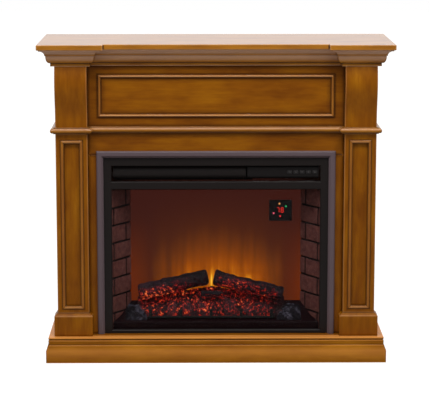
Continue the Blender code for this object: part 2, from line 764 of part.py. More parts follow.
def make_face():
    """Pressed front with the outlet slot above the firebox opening, both with chamfered edges."""
    low = (-FACE_HALF, SURROUND_FACE, INSERT_FOOT)
    face = box("face_frame", low, (FACE_HALF, FACE_BACK, FACE_TOP), "black_steel")
    cut = (
        (2 * FACE_CHAMFER, SURROUND_FACE - FACE_CHAMFER),
        (0.0, SURROUND_FACE + FACE_CHAMFER),
        (0.0, FACE_BACK + CUT_PAST),
    )
    holes = []
    for name, foot, head in (
        ("outlet", OUTLET_BOTTOM, OUTLET_TOP),
        ("firebox", OPENING_BOTTOM, OPENING_TOP),
    ):
        rings = []
        for grow, y in cut:
            half = OPENING_HALF + grow
            lower, upper = foot - grow, head + grow
            rings.append([(-half, y, lower), (half, y, lower), (half, y, upper), (-half, y, upper)])
        holes.append(loft(f"{name}_hole", rings, None))
    combine(face, joined("face_holes", holes), "DIFFERENCE")


def make_glass():
    half = OPENING_HALF + GLASS_LAP
    low = (-half, GLASS_FRONT, CASING_FLOOR + GAP)
    box("glass_pane", low, (half, GLASS_BACK, OPENING_TOP + GLASS_LAP), "clear_glass")


def make_casing():
    """Four folded sheets round the works, and the vented rear cover."""
    front = GLASS_FRONT
    inner = CASING_HALF - SHEET

    def folded_side(name, sign):
        outline = [
            (CASING_HALF, front),
            (CASING_HALF, CASING_BACK),
            (CASING_HALF - CASING_FLANGE, CASING_BACK),
            (CASING_HALF - CASING_FLANGE, CASING_BACK - SHEET),
            (inner, CASING_BACK - SHEET),
            (inner, front),
        ]
        along_z(name, [(sign * x, y) for x, y in outline], INSERT_FOOT, CASING_TOP, "galvanised_steel")

    both_sides(folded_side, "casing_side")
    half = inner - GAP

    def folded_sheet(name, z, lean):
        back = CASING_BACK - SHEET - GAP
        outline = [
            (front, z),
            (back, z),
            (back, z + lean * CASING_FLANGE),
            (back - SHEET, z + lean * CASING_FLANGE),
            (back - SHEET, z + lean * SHEET),
            (front, z + lean * SHEET),
        ]
        along_x(name, outline, -half, half, "galvanised_steel")

    folded_sheet("casing_floor", INSERT_FOOT, 1)
    folded_sheet("casing_top", CASING_TOP, -1)
    make_rear_cover()
    both_sides(make_bracket, "fixing_bracket")


def gland_place():
    return CASING_HALF - GLAND_FROM_SIDE, INSERT_FOOT + GLAND_FROM_FLOOR


def make_rear_cover():
    low = (-CASING_HALF, CASING_BACK + GAP, INSERT_FOOT)
    high = (CASING_HALF, CASING_BACK + GAP + SHEET, CASING_TOP)
    cover = box("rear_cover", low, high, "galvanised_steel")
    usable = 2 * (CASING_HALF - 2 * CASING_FLANGE)
    pitch = usable / VENT_COUNT
    slots = []
    for row in range(VENT_ROWS):
        z = HEATER_MIDDLE_Z + (row - (VENT_ROWS - 1) / 2) * VENT_PITCH_Z
        for column in range(VENT_COUNT):
            x = -usable / 2 + pitch * (column + 0.5)
            low = (x - VENT_WIDTH / 2, CASING_BACK - CUT_PAST, z - VENT_HEIGHT / 2)
            high = (x + VENT_WIDTH / 2, CASING_BACK + CUT_PAST, z + VENT_HEIGHT / 2)
            slots.append(box(f"slot_{row}_{column}", low, high, None))
    x, z = gland_place()
    radius = GLAND_BODY + 2 * GAP
    hole = turned("gland_hole", pin_profile(-CUT_PAST, CUT_PAST, radius), None)
    hole.rotation_euler.z = math.pi / 2
    slots.append(at(hole, (x, CASING_BACK, z)))
    combine(cover, joined("rear_cover_slots", slots), "DIFFERENCE")


def make_gland():
    """Grommet that lines the cable hole, with a lip outside the cover."""
    x, z = gland_place()
    seat = SHEET + 2 * GAP
    face = seat + GLAND_LIP
    profile = [
        (GLAND_BORE, -GLAND_DEPTH),
        (GLAND_BODY, -GLAND_DEPTH),
        (GLAND_BODY, seat),
        (GLAND_FLANGE, seat),
        (GLAND_FLANGE - GLAND_TAPER, face),
        (GLAND_BORE, face),
    ]
    rings = []
    for i in range(TURNED_SIDES):
        turn = 2 * math.pi * i / TURNED_SIDES
        side, up = math.cos(turn), math.sin(turn)
        rings.append([(x + r * side, CASING_BACK + y, z + r * up) for r, y in profile])
    piece = loft("cord_inlet", rings, "gland_rubber", True)
    piece.data.shade_smooth()
    piece.data.set_sharp_from_angle(angle=math.radians(35))


def make_bracket(name, sign):
    """Angle that fixes the casing side to the base board."""
    y1 = CASING_BACK - CASING_FLANGE
    near = CASING_HALF + GAP
    foot = INSERT_FOOT
    outline = [
        (near, foot),
        (near + BRACKET_LEG, foot),
        (near + BRACKET_LEG, foot + BRACKET_SHEET),
        (near + BRACKET_SHEET, foot + BRACKET_SHEET),
        (near + BRACKET_SHEET, foot + BRACKET_LEG),
        (near, foot + BRACKET_LEG),
    ]
    rings = [[(sign * x, y, z) for x, z in outline] for y in (y1 - BRACKET_WIDTH, y1)]
    loft(name, rings, "galvanised_steel")


# ---- Insert: firebox ---------------------------------------------------------------------------
def wall_half(y):
    """Half the firebox's clear width at a depth, between the splayed brick panels."""
    share = (y - FIREBOX_FRONT) / FIREBOX_DEPTH
    return OPENING_HALF - FIREBOX_SPLAY * share


def make_brick_panel(name, sign):
    """Splayed side wall with a mortar groove at each course."""
    slant = math.hypot(FIREBOX_SPLAY, FIREBOX_DEPTH) / FIREBOX_DEPTH
    low = CASING_FLOOR + GAP
    high = OPENING_TOP + GLASS_LAP
    profile = [(BRICK_THICKNESS, low), (0.0, low)]
    z = OPENING_TOP - BRICK_TOP_COURSE
    grooves = []
    while z > TRAY_TOP:
        grooves.append(z)
        z -= BRICK_COURSE
    for z in reversed(grooves):
        foot, head = z - MORTAR_WIDTH / 2, z + MORTAR_WIDTH / 2
        profile += [(0.0, foot), (MORTAR_DEPTH, foot), (MORTAR_DEPTH, head), (0.0, head)]
    profile += [(0.0, high), (BRICK_THICKNESS, high)]
    rings = []
    for y in (FIREBOX_FRONT, SCREEN_FRONT - GAP):
        x = wall_half(y) + GAP
        rings.append([(sign * (x + slant * t), y, z) for t, z in profile])
    loft(name, rings, "brick_panel")


def across_firebox(name, outline, finish):
    """A (y, z) outline carried from wall to wall, as wide at each depth as the splayed walls leave."""
    sides = [[(sign * (wall_half(y) - GAP), y, z) for y, z in outline] for sign in (-1, 1)]
    return loft(name, sides, finish)


def make_firebox_shell():
    top = OPENING_TOP + CEILING_LIFT
    back = SCREEN_FRONT - GAP
    outline = [
        (FIREBOX_FRONT, top),
        (back, top - CEILING_FALL),
        (back, top - CEILING_FALL + SHEET),
        (FIREBOX_FRONT, top + SHEET),
    ]
    across_firebox("firebox_ceiling", outline, "black_steel")
    half = SCREEN_HALF + BRICK_THICKNESS
    low = (-half, SCREEN_FRONT, CASING_FLOOR + GAP)
    box("flame_screen", low, (half, SCREEN_BACK, OPENING_TOP), "flame_acrylic")


def tray_line():
    """The tray's upper surface in (y, z): lip, shelf and the ramp under the ember bed."""
    lip = FIREBOX_FRONT + TRAY_SETBACK
    shelf_end = lip + TRAY_SHELF_DEPTH
    back = SCREEN_FRONT - GAP
    return [
        (lip, TRAY_TOP),
        (shelf_end, TRAY_TOP + TRAY_SHELF_RISE),
        (back, TRAY_TOP + TRAY_SHELF_RISE + TRAY_BACK_RISE),
    ]


def tray_height(y):
    """Height of the tray's upper surface at a depth."""
    line = tray_line()
    for (y0, z0), (y1, z1) in zip(line, line[1:]):
        if y <= y1:
            return z0 + (z1 - z0) * (y - y0) / (y1 - y0)
    return line[-1][1]


def make_tray():
    """Folded tray: front lip, shelf and ramp, open underneath."""
    upper = tray_line()
    lip_y, lip_z = upper[0]
    foot = CASING_FLOOR + GAP
    inside = lip_y + TRAY_WALL
    under = [(inside, lip_z - TRAY_WALL)] + [(y, z - TRAY_WALL) for y, z in upper[1:]]
    outline = [(lip_y, foot)] + upper + list(reversed(under)) + [(inside, foot)]
    across_firebox("floor_tray", outline, "black_plastic")


def make_embers():
    """Glowing bed on the tray's ramp, low at the ends and heaped in the middle."""
    front = tray_line()[0][0] + EMBER_SETBACK
    corner = tray_line()[1][0]
    back = SCREEN_FRONT - EMBER_BACK_GAP
    shares = (0.0, 0.06, 0.25, 0.5, 0.75, 1.0)
    lifts = (0.0, 0.30, 0.58, 0.80, 0.95, 1.0)
    depths = [front + (back - front) * share for share in shares]
    rings = []
    for i in range(EMBER_STATIONS):
        side = -1 + 2 * i / (EMBER_STATIONS - 1)
        x = LOG_SET_OFFSET + side * LOG_SET_HALF
        middle = math.cos(side * math.pi / 2) ** 2
        heap = EMBER_END_HEIGHT + (EMBER_MIDDLE_HEIGHT - EMBER_END_HEIGHT) * middle
        upper = [(x, y, tray_height(y) + 2 * GAP + heap * lift) for y, lift in zip(depths, lifts)]
        upper[0] = (x, front, tray_height(front) + EMBER_TOE_HEIGHT)
        lower = [(x, y, tray_height(y) + 2 * GAP) for y in (back, corner, front)]
        rings.append(upper + lower)
    loft("ember_bed", rings, "ember_resin")


def log(name, start, end, radii, sag, phase):
    """A tapered, slightly bowed log with uneven sides. sag bows its middle down."""
    sides, stations = 14, 8
    start, end = Vector(start), Vector(end)
    axis = (end - start).normalized()
    side = axis.cross(Vector((0, 0, 1))).normalized()
    up = side.cross(axis)
    rings = []
    for i in range(stations + 1):
        share = i / stations
        centre = start.lerp(end, share) - up * sag * math.sin(math.pi * share)
        radius = radii[0] + (radii[1] - radii[0]) * share
        lump = 1 + 0.05 * math.sin(9 * share + phase)
        ring = []
        for k in range(sides):
            turn = 2 * math.pi * k / sides
            broad = 0.05 * math.sin(3 * turn + phase + 2 * share)
            narrow = 0.04 * math.sin(5 * turn - 3 * share)
            reach = radius * lump * (1 + broad + narrow)
            ring.append(tuple(centre + side * reach * math.cos(turn) + up * reach * math.sin(turn)))
        rings.append(ring)
    piece = loft(name, rings, "charred_log")
    piece.data.shade_smooth()
    piece.data.set_sharp_from_angle(angle=math.radians(50))


def make_logs():
    """Two logs that lean against each other over the embers, and a short one between them."""
    y = SCREEN_FRONT - LOG_CLEARANCE - LOG_RADIUS
    reach = LOG_SET_HALF - LOG_END_MARGIN
    inner = LOG_GAP / 2
    low = OPENING_BOTTOM + LOG_OUTER_LIFT + LOG_RADIUS
    high = OPENING_BOTTOM + LOG_INNER_LIFT + LOG_RADIUS
    left = (LOG_SET_OFFSET - reach, y, low)
    left_head = (LOG_SET_OFFSET - inner, y + LOG_TURN, high)
    log("log_left", left, left_head, (LOG_RADIUS, LOG_RADIUS), 0.0, 0.4)
    right = (LOG_SET_OFFSET + reach, y - LOG_TURN, low)
    right_head = (LOG_SET_OFFSET + inner, y + LOG_TURN, high)
    log("log_right", right_head, right, (LOG_RADIUS, LOG_RADIUS * LOG_TAPER), LOG_SAG, 2.1)
    half = SMALL_LOG_LENGTH / 2
    front = tray_line()[0][0] + SMALL_LOG_SETBACK
    z = OPENING_BOTTOM + SMALL_LOG_LIFT
    start = (LOG_SET_OFFSET - half, front, z)
    end = (LOG_SET_OFFSET + half, front, z)
    log("log_small", start, end, (SMALL_LOG_RADIUS, SMALL_LOG_RADIUS), 0.0, 1.2)


def make_grate():
    """Low cast bar in front of the embers, with upright posts."""
    front = tray_line()[0][0] + GRATE_SETBACK
    back = front + GRATE_BAR
    foot = tray_height(back) + 2 * GAP
    reach = LOG_SET_HALF - GRATE_END_MARGIN
    low = (LOG_SET_OFFSET - reach, front, foot)
    bar = box("grate", low, (LOG_SET_OFFSET + reach, back, foot + GRATE_BAR), "cast_iron")
    posts = []
    pitch = (2 * reach - 2 * GRATE_POST_WIDTH) / (GRATE_POSTS - 1)
    for i in range(GRATE_POSTS):
        x = LOG_SET_OFFSET - reach + GRATE_POST_WIDTH + pitch * i
        low = (x - GRATE_POST_WIDTH / 2, front + GAP, foot + GAP)
        high = (x + GRATE_POST_WIDTH / 2, back + GAP, foot + GRATE_POST_HEIGHT)
        posts.append(box(f"post_{i}", low, high, None))
    combine(bar, joined("grate_posts", posts), "UNION")


def make_display():
    x1 = SCREEN_HALF - DISPLAY_SIDE_MARGIN
    z1 = OPENING_TOP - CEILING_FALL - DISPLAY_TOP_MARGIN
    back = SCREEN_FRONT - GAP
    low = (x1 - DISPLAY_WIDTH, back - DISPLAY_DEPTH, z1 - DISPLAY_HEIGHT)
    box("display_module", low, (x1, back, z1), "black_plastic")


# ---- Insert: flame effect ----------------------------------------------------------------------
def make_spinner():
    """Rod with thin flags set round it, which throws the moving light on the screen."""
    rod_start = -SPINNER_HALF - SUPPORT_THICKNESS - SPINNER_STUB
    profile = pin_profile(rod_start, SPINNER_HALF + SPINNER_ENGAGEMENT, SPINNER_ROD)
    rod = turned("flame_spinner", profile, "bright_aluminium", 12)
    usable = SPINNER_HALF - SPINNER_END_MARGIN
    pitch = 2 * usable / SPINNER_FLAGS
    half = pitch * FLAG_FILL / 2
    flags = []
    for i in range(SPINNER_FLAGS):
        low = (-half, -FLAG_REACH, -FLAG_THICKNESS / 2)
        flag = box(f"flag_{i}", low, (half, FLAG_REACH, FLAG_THICKNESS / 2), None)
        flag.rotation_euler.x = math.pi * i / SPINNER_FLAGS
        flags.append(at(flag, (-usable + pitch * (i + 0.5), 0, 0)))
    at(rod, (0, SPINNER_Y, SPINNER_Z))
    wings = at(joined("spinner_flags", flags), (0, SPINNER_Y, SPINNER_Z))
    combine(rod, wings, "UNION")


def support_plate(name, x0, x1, y, z, hole, finish):
    """Upright plate from the casing floor with a round hole for a shaft."""
    reach = SUPPORT_WIDTH / 2
    plate = box(name, (x0, y - reach, CASING_FLOOR + GAP), (x1, y + reach, z + reach), finish)
    bore = turned(f"{name}_bore", pin_profile(x0 - CUT_PAST, x1 + CUT_PAST, hole), None)
    combine(plate, at(bore, (0, y, z)), "DIFFERENCE")


def make_spinner_mounts():
    """Bearing plate at the rod's left end, and the gear motor on its foot at the right end."""
    hole = SPINNER_ROD + BEARING_CLEARANCE
    plate_end = -SPINNER_HALF
    plate_start = plate_end - SUPPORT_THICKNESS
    support_plate("spinner_bearing", plate_start, plate_end, SPINNER_Y, SPINNER_Z, hole, "galvanised_steel")
    start = SPINNER_HALF + GAP
    shoulder = start + SPINNER_MOTOR_BOSS
    end = start + SPINNER_MOTOR_LENGTH
    profile = [
        (start, 0),
        (start, SPINNER_MOTOR_BOSS_RADIUS),
        (shoulder, SPINNER_MOTOR_BOSS_RADIUS),
        (shoulder, SPINNER_MOTOR_RADIUS),
        (end, SPINNER_MOTOR_RADIUS),
        (end, 0),
    ]
    motor = at(turned("spinner_motor", profile, "motor_steel", 24), (0, SPINNER_Y, SPINNER_Z))
    middle = (shoulder + end) / 2
    half = SPINNER_FOOT_THICKNESS / 2
    low = (middle - half, SPINNER_Y - SPINNER_FOOT_WIDTH / 2, CASING_FLOOR + GAP)
    high = (middle + half, SPINNER_Y + SPINNER_FOOT_WIDTH / 2, SPINNER_Z - SPINNER_MOTOR_BOSS_RADIUS)
    combine(motor, box("motor_foot", low, high, None), "UNION")
    deep = SPINNER_HALF + SPINNER_ENGAGEMENT + GAP
    bore = turned("spinner_motor_bore", pin_profile(start - CUT_PAST, deep, hole), None)
    combine(motor, at(bore, (0, SPINNER_Y, SPINNER_Z)), "DIFFERENCE")


def led_board(name, y):
    """Strip of board on the casing floor with a row of light-emitting diodes."""
    half = SPINNER_HALF - SPINNER_END_MARGIN
    foot = CASING_FLOOR + GAP
    top = foot + LED_BOARD_THICKNESS
    reach = LED_BOARD_WIDTH / 2
    board = box(name, (-half, y - reach, foot), (half, y + reach, top), "circuit_board")
    lamps = []
    for i in range(LED_COUNT):
        x = -half + 2 * half * (i + 0.5) / LED_COUNT
        low = (x - LED_SIZE / 2, y - LED_SIZE / 2, foot + LED_BOARD_THICKNESS / 2)
        high = (x + LED_SIZE / 2, y + LED_SIZE / 2, top + LED_HEIGHT)
        lamps.append(box(f"{name}_{i}", low, high, None))
    combine(board, joined(f"{name}_lamps", lamps), "UNION")


# ---- Insert: heater and controls ---------------------------------------------------------------
def make_hood():
    """Convex sheet across the outlet, with the warm-air slot under its lower edge."""
    centre = (HOOD_FRONT + HOOD_RADIUS, OUTLET_TOP + HOOD_TUCK - HOOD_RADIUS)
    slot_top = OUTLET_BOTTOM + HOOD_SLOT
    lowest = 180 + math.degrees(math.asin((centre[1] - slot_top) / HOOD_RADIUS))
    outer = arc(centre, HOOD_RADIUS, 92, lowest, 2 * ROUND_STEPS)
    inner = arc(centre, HOOD_RADIUS - SHEET, lowest, 92, 2 * ROUND_STEPS)
    piece = along_x("outlet_hood", outer + inner, HOOD_LEFT, HOOD_RIGHT, "black_steel")
    piece.data.shade_smooth()
    piece.data.set_sharp_from_angle(angle=math.radians(30))


def make_heater():
    """Finned element in a frame behind the hood."""
    low = HEATER_MIDDLE_Z - HEATER_HEIGHT / 2
    high = HEATER_MIDDLE_Z + HEATER_HEIGHT / 2
    front, back = HEATER_FRONT + GAP, HEATER_BACK - GAP
    x0, x1 = HOOD_LEFT + HEATER_END_MARGIN, HOOD_RIGHT - HEATER_END_MARGIN
    frame = box("heater_element", (x0, front, low), (x1, back, high), "bright_aluminium")
    pitch = (x1 - x0 - 2 * HEATER_FRAME) / HEATER_FINS
    width = pitch * HEATER_WINDOW_SHARE
    windows = []
    for i in range(HEATER_FINS):
        a = x0 + HEATER_FRAME + pitch * i + (pitch - width) / 2
        corner = (a, front - CUT_PAST, low + HEATER_FRAME)
        opposite = (a + width, back + CUT_PAST, high - HEATER_FRAME)
        windows.append(box(f"window_{i}", corner, opposite, None))
    combine(frame, joined("heater_windows", windows), "DIFFERENCE")


def make_blower():
    """Tangential wheel in a scroll whose end plates carry the shaft, with its motor at the left end."""
    centre = (WHEEL_Y, HEATER_MIDDLE_Z)
    make_wheel(centre)
    make_scroll(centre)
    end = BLOWER_LEFT - GAP
    start = end - BLOWER_MOTOR_LENGTH
    shoulder = BLOWER_MOTOR_RADIUS - BLOWER_MOTOR_SHOULDER
    motor = turned("blower_motor", [
        (start, 0),
        (start, shoulder),
        (start + BLOWER_MOTOR_SHOULDER, BLOWER_MOTOR_RADIUS),
        (end - BLOWER_MOTOR_SHOULDER, BLOWER_MOTOR_RADIUS),
        (end, shoulder),
        (end, 0),
    ], "motor_steel", 24)
    at(motor, (0, *centre))
    hole = WHEEL_SHAFT + BEARING_CLEARANCE
    deep = BLOWER_LEFT - WHEEL_STUB - GAP
    bore = turned("blower_motor_bore", pin_profile(deep, end + CUT_PAST, hole), None)
    combine(motor, at(bore, (0, *centre)), "DIFFERENCE")


def make_wheel(centre):
    """Ring of thin blades between two discs on a shaft."""
    near = BLOWER_LEFT + SCROLL_SHEET + WHEEL_END_GAP
    far = BLOWER_RIGHT - SCROLL_SHEET - WHEEL_END_GAP
    shaft = WHEEL_SHAFT
    start, end = BLOWER_LEFT - WHEEL_STUB, BLOWER_RIGHT + WHEEL_END_GAP
    wheel = turned("blower_wheel", [
        (start, 0),
        (start, shaft),
        (near, shaft),
        (near, WHEEL_RADIUS),
        (near + WHEEL_DISC, WHEEL_RADIUS),
        (near + WHEEL_DISC, shaft),
        (far - WHEEL_DISC, shaft),
        (far - WHEEL_DISC, WHEEL_RADIUS),
        (far, WHEEL_RADIUS),
        (far, shaft),
        (end, shaft),
        (end, 0),
    ], "black_plastic", 28)
    half = WHEEL_BLADE_THICKNESS / 2
    blades = []
    for i in range(WHEEL_BLADES):
        low = (near + WHEEL_DISC / 2, -half, WHEEL_RADIUS * 0.72)
        high = (far - WHEEL_DISC / 2, half, WHEEL_RADIUS * 0.96)
        blade = box(f"blade_{i}", low, high, None)
        blade.rotation_euler.x = 2 * math.pi * i / WHEEL_BLADES
        blades.append(at(blade, (0, 0, 0)))
    at(wheel, (0, *centre))
    combine(wheel, at(joined("wheel_blades", blades), (0, *centre)), "UNION")


def make_scroll(centre):
    """Wrapped sheet with a mouth towards the heater, and an end plate at each end."""
    radius = SCROLL_RADIUS
    y, z = centre
    mouth = HEATER_BACK + 2 * GAP
    left, right = BLOWER_LEFT, BLOWER_RIGHT
    outer = [(mouth, z + radius)] + arc(centre, radius, 90, -60, 2 * ROUND_STEPS)
    inner = arc(centre, radius - SCROLL_SHEET, -60, 90, 2 * ROUND_STEPS)
    inner.append((mouth, z + radius - SCROLL_SHEET))
    scroll = along_x("blower_housing", outer + inner, left + GAP, right - GAP, "galvanised_steel")
    plates = []
    reach = radius + SCROLL_RIM
    for name, x in (("left", left), ("right", right - SCROLL_SHEET)):
        high = (x + SCROLL_SHEET, y + reach, z + reach)
        plates.append(box(f"end_plate_{name}", (x, mouth, z - reach), high, None))
    combine(scroll, joined("blower_end_plates", plates), "UNION")
    hole = WHEEL_SHAFT + BEARING_CLEARANCE
    bore = turned("blower_housing_bore", pin_profile(left - CUT_PAST, right + CUT_PAST, hole), None)
    combine(scroll, at(bore, (0, *centre)), "DIFFERENCE")


def button_places():
    """Middle x of each button, from the left."""
    last = PANEL_RIGHT - BUTTON_END_MARGIN
    pitch = BUTTON_WIDTH + BUTTON_SPACING
    return [last - pitch * (BUTTON_COUNT - 1 - i) for i in range(BUTTON_COUNT)]


def slab(name, x, z, width, height, corner, y0, y1, finish):
    """A plate with rounded corners, facing the front, from y0 back to y1."""
    outline = []
    for cx, cz, start in ((1, 1, 0), (-1, 1, 90), (-1, -1, 180), (1, -1, 270)):
        middle = (x + cx * (width / 2 - corner), z + cz * (height / 2 - corner))
        outline += arc(middle, corner, start, start + 90, 3)
    return loft(name, [[(a, y, b) for a, b in outline] for y in (y0, y1)], finish)


def panel_outline(z):
    """Section of the control panel: a shell with a flat front whose edges curl back above and below."""
    curl = OUTLET_HEIGHT / 2 - PANEL_SLOT - PANEL_FLAT / 2
    y = PANEL_FRONT + curl
    upper, lower = (y, z + PANEL_FLAT / 2), (y, z - PANEL_FLAT / 2)
    tail = FACE_BACK + PANEL_TAIL
    inside = curl - PANEL_SHELL
    outer = arc(lower, curl, 270, 180) + arc(upper, curl, 180, 90)
    inner = arc(upper, inside, 90, 180) + arc(lower, inside, 180, 270)
    closed_outer = [(tail, outer[0][1])] + outer + [(tail, outer[-1][1])]
    return closed_outer + [(tail, inner[0][1])] + inner + [(tail, inner[-1][1])]


def make_controls():
    """Curved control panel with five push buttons, and the board with their switches behind it."""
    z = HEATER_MIDDLE_Z + PANEL_LIFT
    panel = along_x("control_panel", panel_outline(z), PANEL_LEFT, PANEL_RIGHT, "black_plastic")
    panel.data.shade_smooth()
    panel.data.set_sharp_from_angle(angle=math.radians(30))
    width, height = BUTTON_WIDTH + 2 * GAP, BUTTON_HEIGHT + 2 * GAP
    near, far = PANEL_FRONT - CUT_PAST, PANEL_FRONT + PANEL_SHELL + BUTTON_CORNER
    holes = []
    for i, x in enumerate(button_places()):
        holes.append(slab(f"hole_{i}", x, z, width, height, BUTTON_CORNER, near, far, None))
    combine(panel, joined("button_holes", holes), "DIFFERENCE")
    for name, x in zip(("power", "flame", "dimmer", "heat", "timer"), button_places()):
        make_button(f"button_{name}", x, z)
    make_control_board(z)


def make_button(name, x, z):
    """Push button: a cap through the panel, with a flange behind it that stops it coming out."""
    front = PANEL_FRONT - BUTTON_PROUD
    inside = PANEL_FRONT + PANEL_SHELL + GAP
    deep = inside + BUTTON_FLANGE
    cap_end = (inside + deep) / 2
    cap = slab(name, x, z, BUTTON_WIDTH, BUTTON_HEIGHT, BUTTON_CORNER, front, cap_end, "grey_button")
    width, height = BUTTON_WIDTH + 2 * BUTTON_FLANGE_RIM, BUTTON_HEIGHT + 2 * BUTTON_FLANGE_RIM
    flange = slab(f"{name}_flange", x, z, width, height, BUTTON_CORNER, inside, deep, None)
    on_axis(cap, (x, PANEL_FRONT, z))
    combine(cap, flange, "UNION")


def make_control_board(z):
    """Board behind the panel, with a switch whose top stays clear of each pressed button."""
    rest = PANEL_FRONT + PANEL_SHELL + GAP + BUTTON_FLANGE
    face = rest + BUTTON_TRAVEL + SWITCH_CLEARANCE + SWITCH_HEIGHT
    low = (PANEL_LEFT + PCB_SIDE_MARGIN, face, z - PCB_HALF_HEIGHT)
    high = (PANEL_RIGHT - PCB_SIDE_MARGIN, face + PCB, z + PCB_HALF_HEIGHT)
    board = box("control_board", low, high, "circuit_board")
    half = SWITCH_SIZE / 2
    switches = []
    for i, x in enumerate(button_places()):
        low = (x - half, face - SWITCH_HEIGHT, z - half)
        switches.append(box(f"switch_{i}", low, (x + half, face + PCB / 2, z + half), None))
    combine(board, joined("board_switches", switches), "UNION")


def main():
    clear_scene()
    make_shelf()
    make_crown()
    make_frieze()
    both_sides(make_upper_pilaster, "upper_pilaster")
    make_collar()
    both_sides(make_lower_pilaster, "lower_pilaster")
    both_sides(make_pilaster_bead, "pilaster_bead")
    make_surround()
    both_sides(make_plinth, "plinth")
    make_base()
    make_carcass()
    make_trim()
    make_face()
    make_glass()
    make_casing()
    make_gland()
    both_sides(make_brick_panel, "brick_panel")
    make_firebox_shell()
    make_tray()
    make_embers()
    make_logs()
    make_grate()
    make_display()
    make_spinner()
    make_spinner_mounts()
    led_board("flame_led_board", CASING_BACK - FLAME_BOARD_SETBACK)
    led_board("ember_led_board", FIREBOX_FRONT + FIREBOX_DEPTH * EMBER_BOARD_SHARE)
    make_hood()
    make_heater()
    make_blower()
    make_controls()


main()
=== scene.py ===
# %% [markdown]
# # An electric fireplace: wooden mantel and heater insert
#
# The solids of this fireplace were made in CAD, where every board and sheet has its true size. Here the
# same pieces get the surfaces that an eye expects: rounded arrises, mitred mouldings, stained wood with
# its figure, mortar between moulded bricks, charred bark and a bed of embers.
#
# Lengths are in metres. X runs to the viewer's right, Y away from the viewer and Z up, from the floor.

# %% Imports and the CAD frame
import math
import bpy
import numpy as np
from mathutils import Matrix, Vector


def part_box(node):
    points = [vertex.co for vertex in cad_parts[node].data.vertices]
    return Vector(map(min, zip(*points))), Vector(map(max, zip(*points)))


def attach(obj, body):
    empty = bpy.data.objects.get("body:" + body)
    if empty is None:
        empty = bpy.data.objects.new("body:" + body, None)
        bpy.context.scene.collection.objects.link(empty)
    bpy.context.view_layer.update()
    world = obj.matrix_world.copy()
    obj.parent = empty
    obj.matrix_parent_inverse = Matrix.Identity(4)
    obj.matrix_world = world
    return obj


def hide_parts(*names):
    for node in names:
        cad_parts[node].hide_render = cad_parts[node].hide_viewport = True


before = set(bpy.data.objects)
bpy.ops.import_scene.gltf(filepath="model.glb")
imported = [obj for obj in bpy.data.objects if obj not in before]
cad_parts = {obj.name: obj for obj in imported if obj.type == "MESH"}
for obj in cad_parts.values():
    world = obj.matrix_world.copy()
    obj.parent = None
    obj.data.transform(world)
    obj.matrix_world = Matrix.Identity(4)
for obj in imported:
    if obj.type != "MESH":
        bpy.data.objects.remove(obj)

scene = bpy.context.scene
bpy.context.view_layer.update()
MM = 0.001

# %% [markdown]
# ## Surfaces from whole arrays
#
# Nearly every piece here is a stack of closed rings: a board is its outline repeated from one face to the
# other, a moulding is its profile repeated along a length. So one function turns an array of rings into a
# closed skin. The faces are counted out for the whole grid at once, the two ends get a cap, and the sign
# of the enclosed volume says whether the faces look outwards or have to be turned over.

# %% Rings of points become a closed skin
def weave(rows, columns, around=True, looped=False):
    """Four-sided faces between neighbouring rows and columns of a grid of points numbered row by row."""
    i = np.arange(rows if looped else rows - 1)[:, None]
    j = np.arange(columns if around else columns - 1)[None, :]
    i2, j2 = (i + 1) % rows, (j + 1) % columns
    corners = [i * columns + j, i * columns + j2, i2 * columns + j2, i2 * columns + j]
    return np.stack(corners, -1).reshape(-1, 4)


def volume(points, quads, caps):
    """Six times the enclosed volume: the sum of a . (b x c) over every triangle of every face."""
    a, b, c, d = (points[quads[:, k]] for k in range(4))
    total = (a * np.cross(b, c)).sum() + (a * np.cross(c, d)).sum()
    for cap in caps:
        ring = points[cap]
        total += (ring[0] * np.cross(ring[1:-1], ring[2:])).sum()
    return total


def skin(rings, looped=False, **values):
    """A closed part from rings[ring, point, xyz]. Extra values are one number or vector for each point."""
    rings = np.asarray(rings, float)
    rows, columns = rings.shape[:2]
    points = rings.reshape(-1, 3)
    quads = weave(rows, columns, True, looped)
    caps = [] if looped else [np.arange(columns)[::-1], np.arange((rows - 1) * columns, rows * columns)]
    if volume(points, quads, caps) < 0:
        quads, caps = quads[:, ::-1], [cap[::-1] for cap in caps]
    part = {"points": points, "quads": quads, "caps": caps}
    for key, value in values.items():
        part[key] = np.asarray(value, float).reshape(len(points), -1)
    return part


def sheet_between(front, back, **values):
    """A closed part between two grids of points of one shape, joined round their four edges."""
    rows, columns = front.shape[:2]
    count = rows * columns
    points = np.concatenate([front.reshape(-1, 3), back.reshape(-1, 3)])
    face = weave(rows, columns, False)
    number = np.arange(count).reshape(rows, columns)
    rim = np.concatenate([number[0], number[1:, -1], number[-1, -2::-1], number[-2:0:-1, 0]])
    after = np.roll(rim, -1)
    edge = np.stack([after, rim, rim + count, after + count], -1)
    quads = np.concatenate([face, face[:, ::-1] + count, edge])
    if volume(points, quads, []) < 0:
        quads = quads[:, ::-1]
    part = {"points": points, "quads": quads, "caps": []}
    for key, value in values.items():
        flat = np.asarray(value, float).reshape(count, -1)
        part[key] = np.concatenate([flat, flat])
    return part


print("faces of a 3 by 4 tube:", len(weave(3, 4)))

# %% [markdown]
# A finished piece joins its parts in one mesh. Values such as the direction of the grain are stored at
# the points under a name, and a material reads them by that name. Every piece is then hung on the CAD
# body that carries it, and the CAD nodes that it stands for are hidden.

# %% From parts to a finished piece
SHARP = math.radians(38)
built = {}


